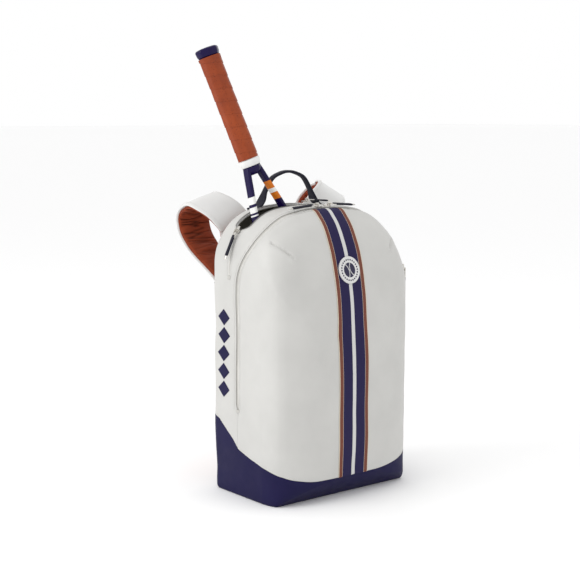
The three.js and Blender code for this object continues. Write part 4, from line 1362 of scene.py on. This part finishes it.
def strap_root(side, sign):
    (near, low), (far, high) = ROOT_BOX
    corners = [(sign * near, low), (sign * far, low), (sign * far, high), (sign * near, high)]
    dense, middle = slab("strap_root_plate_" + side, corners, PLATE_BASE_Y, 5.4, strap_skin,
                         ["strap_root_" + side])
    slab_stitches("strap_root_stitches_" + side, dense, middle, PANEL_FACE + 5.3, 3.4, thread_white)


def anchor_wing(side, sign):
    corners = [(sign * a, b) for a, b in WING_CORNERS]
    dense, middle = slab("anchor_wing_patch_" + side, corners, PLATE_BASE_Y, 3.4, navy_skin,
                         ["anchor_wing_" + side], soft=4, puff=0.4)
    slab_stitches("anchor_wing_stitches_" + side, dense, middle, PANEL_FACE + 3.0, 2.6, thread_navy)


def strap_webbing(side, sign):
    """Webbing threaded through the ladder lock, then down to the wing at the base."""
    lock = LOCK * np.array([sign, 1, 1])
    tilt = np.array([0, math.cos(LOCK_TILT), -math.sin(LOCK_TILT)])
    down = np.array([0, math.sin(LOCK_TILT), math.cos(LOCK_TILT)])
    threaded = [(-4.6, -9), (-3.6, -4.5), (2.4, -3.2), (4.4, 0), (1.6, 3.0), (-4.6, 2.0), (-6.2, -9)]
    route = [lock + tilt * out + down * along for out, along in threaded]
    route += [
        lock + np.array([sign * 0.8, -7.5, -24]), lock + np.array([sign * 2, -8.2, -52]),
        np.array([sign * 100, 103.6, 160]), np.array([sign * 104, 101.6, 60.5]),
    ]
    rings = []
    for spot, tangent in zip(*spline(route, 150)):
        across, normal = orthonormal(tangent, SIDEWISE)
        rings.append(webbing_ring(spot, across, normal, WEB_HALF, WEB_THICK))
    settle(solid("strap_webbing_band_" + side, rings, web_cloth, "strap_" + side,
                 ["strap_webbing_" + side]))


def straps():
    for side, sign in (("left", -1), ("right", 1)):
        frames = strap_frames(STRAP_ROUTES[side], 190)
        strap_seam(side, sign, frames)
        settle(strap_pad(side, frames), strap_lining(side, frames))
        settle(strap_piping(side, frames, -1), strap_piping(side, frames, 1))
        for way in (-1, 1):
            strap_stitches(side, frames, way)
        strap_root(side, sign)
        anchor_wing(side, sign)
        round_edges("ladder_lock_" + side, 0.9, black_plastic)
        strap_webbing(side, sign)


straps()

# ---- Back: yoke and padded panel with air channels ----
YOKE_CORNERS = [(-40, 430), (-40, 382), (0, 374), (40, 382), (40, 430)]
yoke_line, yoke_middle = slab("yoke_patch", YOKE_CORNERS, PLATE_BASE_Y, 4.6, strap_skin,
                              ["yoke"])
slab_stitches("yoke_stitches", yoke_line, yoke_middle, PANEL_FACE + 4.5, 3.4, thread_white)

BACK_EDGE_Y = 88
BACK_MIDDLE_Z = 225.0
PANEL_INSETS = (22, 12, 12)
PANEL_HEIGHT = 7.9
CHANNEL_LEVELS = (120, 215, 310)
CHANNEL_DEPTH = 3.4
CHANNEL_HALF = 6
CHANNEL_RISE = 0.05
SPINE_HALF = 9
PANEL_ROLL = ([0, 1, 2, 3, 6], [0, 0.35, 0.68, 0.86, 1.0])  # ring from the edge, and share of the height
PANEL_BASE_Y = 88.6


def back_frame():
    """The flange round the bag's back that the panel is sewn on."""
    rim = outline(BACK_EDGE_Y)
    middle = np.array([0, BACK_EDGE_Y, BACK_MIDDLE_Z])
    rings = [middle + (rim - middle) * np.array([1 - 0.2 * k, 1, 1 - 0.12 * k])
             for k in np.linspace(0, 1, 12)]
    points, faces = sweep(rings, caps=False)
    if normals(points, faces)[:, 1].mean() < 0:
        faces = faces[:, ::-1]
    above = boot_edge(points[:, 1]) - points[:, 2]
    for name, value, material, slot, replaced in (
            ("back_frame_upper", above + JOIN_GAP, white_skin, "coated_white", ["gusset"]),
            ("back_frame_boot", JOIN_GAP - above, navy_skin, "boot", ["boot"])):
        kept_points, kept_faces = clip(points, faces, value)
        made = piece(name, kept_points, kept_faces, material, "bag", replaced)
        thicken(made, 1.8)
        settle(made)


back_frame()


def back_panel():
    """Padded cloth in two long cushions with channels between and across them."""
    side, top, low = PANEL_INSETS
    path = Arch(side, top)
    edge = FLOOR_CORNER_R + 0.3 * side
    half = [(t, low) for t in np.linspace(0, path.a - edge, 24, endpoint=False)]
    half += [(path.a - edge + edge * math.sin(a), low + edge * (1 - math.cos(a)))
             for a in np.linspace(0, math.pi / 2, 8, endpoint=False)]
    half += [(path.a, t) for t in np.linspace(low + edge, path.corner_z, 70, endpoint=False)]
    half += [path.at(u) for u in np.linspace(path.to_side, 0, 50, endpoint=False)]
    rim = np.array(half + [path.at(0)] + [(-a, b) for a, b in reversed(half[1:])])
    middle = np.array([0, BACK_MIDDLE_Z])
    rings = []
    for s in np.concatenate([[1.0, 1.0, 0.995, 0.985], np.linspace(0.965, 0.02, 44)]):
        rings.append(np.column_stack([middle[0] + (rim[:, 0] - middle[0]) * s, np.zeros(len(rim)),
                                      middle[1] + (rim[:, 1] - middle[1]) * s]))
    points, faces = sweep(rings)
    row = np.repeat(np.arange(len(rings)), len(rim))
    row = np.concatenate([row, [0, len(rings) - 1]])
    px, pz = points[:, 0], points[:, 2]
    roll = np.interp(row, *PANEL_ROLL)
    height = PANEL_HEIGHT * roll
    channel = np.exp(-((px / SPINE_HALF) ** 4)) * smooth(40, 60, pz) * (1 - smooth(345, 365, pz))
    for level in CHANNEL_LEVELS:
        crossing = np.exp(-(((pz - level - CHANNEL_RISE * np.abs(px)) / CHANNEL_HALF) ** 4))
        channel = np.maximum(channel, crossing * smooth(104, 92, np.abs(px)))
    height -= CHANNEL_DEPTH * channel * roll
    height += (wobble(points, 30, 8.0) * 0.5 - 0.5) * roll
    points[:, 1] = PANEL_BASE_Y + height
    points[row == 0, 1] = 88.5
    made = piece("back_panel_pad", points, facing_out(points, faces), clay_mesh, "bag",
                 ["back_panel"])
    settle(made)
    loop = np.array([(a * 0.955, 96.3, middle[1] + (b - middle[1]) * 0.97) for a, b in rim[::2]])
    stitch_row("back_panel_stitches", loop, unit_rows(np.gradient(loop, axis=0)), [BACKWARDS] * len(loop),
               thread_clay)


def mesh_material():
    """Spacer mesh: a field of small round holes in clay knit."""
    n = Nodes("clay_spacer_mesh")
    holes = n.span(n.voronoi(420), 0, 1, 0.18, 0.42)
    cloud = n.noise(30, 4)
    n.colour(n.mix(holes, tint(CLAY, 0.35), tint(CLAY, 1.15)))
    n.roughness(n.spread(cloud, 0.7, 0.9))
    n.bump(holes, 0.6, 0.0005)
    n.bump(cloud, 0.2, 0.0006)
    n.set(Sheen_Weight=0.2, Sheen_Roughness=0.5)
    return n.material


clay_mesh = mesh_material()
back_panel()

# ---- Inside ----
def rear_lining():
    """The lining that closes the back frame from inside, in front of the back panel."""
    path = Arch(10, 10)
    end_u = path.to_side + path.corner_z - 14
    rim = np.array([path.at(u) for u in np.linspace(end_u, -end_u, 200)])
    middle = np.array([0, BACK_MIDDLE_Z])
    rings = [[(a * s, REAR_LINING_Y, middle[1] + (b - middle[1]) * s) for a, b in rim]
             for s in np.linspace(1, 0.02, 24)]
    points, faces = sweep(rings)
    points[:, 1] += wobble(points, 40, 6.0) * 0.8
    made = piece("rear_lining", points, faces, lining_cloth, "bag")
    thicken(made, 0.6)
    settle(made)


REAR_LINING_Y = 81
rear_lining()
dress("base_board", board_plastic)
for name in ("divider", "laptop_sleeve", "racket_sling"):
    dress(name, lining_cloth)

# ---- Racket ----
BUTT = np.array([-139.3, 100, 695.2])
RIM = np.array([-67.1, 42, 453.3])
UP = (BUTT - RIM) / np.linalg.norm(BUTT - RIM)
SIDEWAYS, _ = orthonormal(UP, np.array([1.0, 0, 0]))
FACING = np.cross(UP, SIDEWAYS)


def on_racket(a, b, c):
    """From racket space (across the head, through the strings, down from the butt) to the bag's."""
    return BUTT - SIDEWAYS * a + FACING * b - UP * c


GRIP_SIDES = 8
GRIP_WIDE, GRIP_FLAT = 1.08, 0.92


def racket_rings(profile, count=48, twist=None):
    """Rings round the racket's axis from (distance, radius) pairs, as a rounded eight-sided grip."""
    rings = []
    for c, radius in profile:
        ring = []
        for angle in turn(count):
            corner = (angle + math.pi / GRIP_SIDES) % (2 * math.pi / GRIP_SIDES) - math.pi / GRIP_SIDES
            side = radius * math.cos(math.pi / GRIP_SIDES) / math.cos(corner)
            r = 0.75 * side + 0.25 * radius
            if twist:
                r += twist(angle, c)
            ring.append(on_racket(GRIP_WIDE * r * math.cos(angle), GRIP_FLAT * r * math.sin(angle), c))
        rings.append(ring)
    return rings


GRIP_END = 183
WRAP_PITCH = 21.0


def wrap(angle, c):
    """The overlap of the grip tape: a shallow step that spirals down the handle."""
    phase = (c / WRAP_PITCH + angle / (2 * math.pi)) % 1
    return 0.55 * phase - 0.45 * math.exp(-((phase / 0.05) ** 2)) - 0.25


def grip_material():
    n = Nodes("clay_grip_tape")
    holes = n.span(n.voronoi(330), 0, 1, 0.1, 0.25)
    cloud = n.noise(26, 4)
    worn = n.mix(n.spread(cloud, 0, 1), (0.22, 0.034, 0.007), (0.31, 0.052, 0.01))
    n.colour(n.mix(holes, (0.12, 0.02, 0.006), worn))
    n.roughness(n.spread(n.noise(80, 3), 0.5, 0.68))
    n.bump(holes, 0.35, 0.0003)
    n.bump(n.noise(700, 3), 0.15, 0.0002)
    n.set(Specular_IOR_Level=0.3)
    return n.material


PAINT_SPAN = (150, 350)  # where the paint's bands lie, down from the butt
PAINT_NAVY = (0.008, 0.003, 0.045)
PAINT_ORANGE = (0.6, 0.16, 0.012)
PAINT_WHITE = (0.78, 0.78, 0.76)
LEFT_ARM = [  # where each band starts, and its colour
    (0, PAINT_NAVY), (239, PAINT_WHITE), (250, PAINT_NAVY), (254, PAINT_WHITE), (263, PAINT_NAVY),
    (266, PAINT_WHITE), (268, PAINT_NAVY),
]
RIGHT_ARM = [
    (0, PAINT_NAVY), (225, PAINT_ORANGE), (238, PAINT_WHITE), (245, PAINT_ORANGE), (257, PAINT_NAVY),
]


def frame_material():
    """Dark lacquer with bands set by the distance from the butt, different on each arm."""
    n = Nodes("racket_lacquer")
    from_butt = n.new("ShaderNodeVectorMath", operation="SUBTRACT")
    n.link(n.place, from_butt.inputs[0])
    from_butt.inputs[1].default_value = tuple(BUTT * MM)

    def measure(direction, scale):
        dot = n.new("ShaderNodeVectorMath", operation="DOT_PRODUCT")
        n.link(from_butt.outputs[0], dot.inputs[0])
        dot.inputs[1].default_value = tuple(direction)
        return n.math("MULTIPLY", dot.outputs["Value"], scale)

    low, high = PAINT_SPAN
    down = n.span(measure(-UP, 1 / MM), 0, 1, low, high)
    across = n.span(measure(SIDEWAYS, 1 / MM), 0, 1, -0.5, 0.5)
    left, right = (n.bands(down, [(max(0, (start - low) / (high - low)), colour) for start, colour in arm])
                   for arm in (LEFT_ARM, RIGHT_ARM))
    n.colour(n.mix(across, left, right))
    n.roughness(n.spread(n.noise(120, 4), 0.18, 0.32))
    n.bump(n.noise(500, 3), 0.04, 0.0001)
    n.set(Coat_Weight=0.06, Coat_Roughness=0.12, Specular_IOR_Level=0.15)
    return n.material


FRAME_HALF = [  # out from the middle, and down from the butt
    (10, 194), (14.5, 210), (20, 232), (27, 259), (36, 298), (58, 336), (82, 376), (100, 420), (114, 470),
    (118, 521), (109, 580), (85, 632), (48, 667),
]
BRIDGE = [(-88, 392), (-62, 377), (-30, 369), (0, 367), (30, 369), (62, 377), (88, 392)]
BEAM = 19
TUBE = 11


def racket_tube(points, count, groove=0.0):
    spots, tangents = spline([(a, 0, c) for a, c in points], count)
    rings = []
    for spot, tangent in zip(spots, tangents):
        out = np.array([tangent[2], 0, -tangent[0]])
        slim = 1 - 0.22 * (1 - float(smooth(250, 330, spot[2])))
        ring = []
        for angle in turn(24):
            a, b = superellipse(angle, 0.8, 0.8)
            a = a * TUBE / 2 * slim
            b = b * BEAM / 2 * slim
            a -= math.copysign(groove * math.exp(-((b / 2.2) ** 2)), a)
            local = spot + out * a + np.array([0, b, 0])
            ring.append(on_racket(*local))
        rings.append(ring)
    return rings


HEAD_TIP = (0, 679)
CAP_PROFILE = [  # distance from the butt, and radius
    (-0.4, 4), (-0.3, 13), (0.4, 16), (1.6, 17.8), (3.4, 18.5), (9, 18.2), (11.5, 17.4), (13.6, 16.4),
]
GRIP_RADII = ([14, 24, 60, GRIP_END], [18.0, 17.2, 16.6, 16.4])
COLLAR_PROFILE = [(0, 16.2), (0.3, 17.0), (1.2, 17.3), (5, 17.0), (9.8, 16.0), (10.7, 15.4), (11, 14)]
NECK_PROFILE = [(194.6, 13.6), (197, 14.6), (200, 14.2), (204, 12.6), (208, 8)]


def racket():
    distances = np.arange(14.3, GRIP_END, 0.9)
    grip = list(zip(distances, np.interp(distances, *GRIP_RADII)))
    start = GRIP_END + 0.3
    collar = [(start + c, radius) for c, radius in COLLAR_PROFILE]
    hoop = FRAME_HALF + [HEAD_TIP] + [(-a, c) for a, c in reversed(FRAME_HALF)]
    for name, rings, material, slot, replaced in (
            ("butt_cap_shell", racket_rings(CAP_PROFILE), lacquer, "frame_paint", ["butt_cap"]),
            ("grip_wrap", racket_rings(grip, twist=wrap), grip_tape, "grip", ["grip"]),
            ("collar_band", racket_rings(collar, count=56), collar_rubber, "collar", ["collar"]),
            ("racket_hoop", racket_tube(hoop, 260, groove=0.8), lacquer, "frame_paint", ["racket_frame"]),
            ("racket_bridge", racket_tube(BRIDGE, 60), lacquer, "frame_paint", []),
            ("racket_neck", racket_rings(NECK_PROFILE, count=40), lacquer, "frame_paint", [])):
        settle(solid(name, rings, material, "racket", replaced))


MAINS, MAIN_PITCH = 16, 13
CROSSES, CROSS_PITCH = 19, 15
HEAD_MIDDLE, HEAD_WIDTH, HEAD_LENGTH = 523, 112.5, 151  # down from the butt, and half sizes
STRING_R = 0.65


def strings():
    """Sixteen mains and nineteen crosses, woven over and under each other."""
    all_points, all_faces, start = [], [], 0
    runs = []
    for i in range(MAINS):
        a = (i - (MAINS - 1) / 2) * MAIN_PITCH
        runs.append((True, i, a, HEAD_LENGTH * math.sqrt(1 - (a / HEAD_WIDTH) ** 2)))
    for i in range(CROSSES):
        c = (i - (CROSSES - 1) / 2) * CROSS_PITCH
        runs.append((False, i, c, HEAD_WIDTH * math.sqrt(1 - (c / HEAD_LENGTH) ** 2)))
    for main, index, offset, reach in runs:
        pitch, shift, way = (CROSS_PITCH, 0, 1) if main else (MAIN_PITCH, 0.5, -1)
        rings = []
        for t in np.linspace(-reach, reach, 60):
            weave = way * 0.6 * math.cos(math.pi * (t / pitch + (index % 2) + shift))
            ring = []
            for angle in turn(6):
                u, v = STRING_R * math.cos(angle), STRING_R * math.sin(angle)
                ring.append(on_racket(offset + u, weave + v, HEAD_MIDDLE + t) if main
                            else on_racket(t, weave + v, HEAD_MIDDLE + offset + u))
            rings.append(ring)
        points, faces = sweep(rings)
        all_points.append(points)
        all_faces.append(facing_out(points, faces) + start)
        start += len(points)
    settle(piece("string_bed", np.vstack(all_points), np.vstack(all_faces), string_line, "racket",
                 ["strings"]))


lacquer = frame_material()
grip_tape = grip_material()
collar_rubber = plastic("collar_rubber", (0.76, 0.76, 0.75), rough=0.5, variation=0.04)
string_line = plastic("string_line", (0.75, 0.73, 0.66), rough=0.3, variation=0.05, scale=500)
racket()
strings()

# ---- Stitching on the shell ----
BOOT_YS = np.linspace(-88, 86, 400)
for label, sign in (("left", -1), ("right", 1)):
    frames = [bag_frame(sign * u_at_height(float(boot_edge(depth)) + 3), depth)
              for depth in BOOT_YS[BOOT_YS > -84]]
    spots = np.array([f[0] for f in frames])
    ups = np.array([f[3] for f in frames])
    spots = spots + ups * (relief(spots)[:, None] + 0.1)
    stitch_row("boot_seam_stitches_" + label, spots, [f[2] for f in frames], ups, thread_white)


# ---- Floor, light and camera ----
def studio():
    floor_material = bpy.data.materials.new("floor")
    floor_material.use_nodes = True
    shader = floor_material.node_tree.nodes["Principled BSDF"]
    shader.inputs["Base Color"].default_value = (0.97, 0.97, 0.97, 1)
    shader.inputs["Roughness"].default_value = 0.9
    shader.inputs["Specular IOR Level"].default_value = 0.1
    mesh = bpy.data.meshes.new("floor")
    corners = [(a * FLOOR_HALF, b * FLOOR_HALF, 0) for a, b in ((-1, -1), (1, -1), (1, 1), (-1, 1))]
    mesh.from_pydata(corners, [], [(0, 1, 2, 3)])
    mesh.materials.append(floor_material)
    floor = bpy.data.objects.new("floor", mesh)
    bpy.context.scene.collection.objects.link(floor)

    world = bpy.data.worlds.new("studio")
    bpy.context.scene.world = world
    world.use_nodes = True
    background = world.node_tree.nodes["Background"]
    background.inputs["Color"].default_value = (1, 1, 1, 1)
    background.inputs["Strength"].default_value = WORLD_LIGHT

    for name, place, size, power in LAMPS:
        data = bpy.data.lights.new(name, "AREA")
        data.size = size
        data.energy = power
        lamp = bpy.data.objects.new(name, data)
        lamp.location = place
        lamp.rotation_euler = (LAMP_TARGET - Vector(place)).to_track_quat("-Z", "Y").to_euler()
        bpy.context.scene.collection.objects.link(lamp)

    camera_data = bpy.data.cameras.new("camera")
    camera_data.lens = CAMERA_LENS
    camera_data.sensor_width = 36
    camera = bpy.data.objects.new("camera", camera_data)
    camera.location = CAMERA_PLACE
    camera.rotation_euler = CAMERA_FORWARD.to_track_quat("-Z", "Y").to_euler()
    bpy.context.scene.collection.objects.link(camera)
    bpy.context.scene.camera = camera
    bpy.context.scene.view_settings.view_transform = "Standard"


FLOOR_HALF = 60
CAMERA_LENS = 79.76
CAMERA_PLACE = (-1.300, -1.555, 0.593)
CAMERA_FORWARD = Vector((0.620, 0.773, -0.1350))
LAMP_TARGET = Vector((0, 0, 0.25))
WORLD_LIGHT = 1.0
LAMPS = (  # name, place in metres, size in metres, power in watts
    ("side", (-2.2, 0.5, 1.3), 1.4, 20),
    ("top", (0.1, 0.3, 2.4), 1.2, 3),
)
studio()
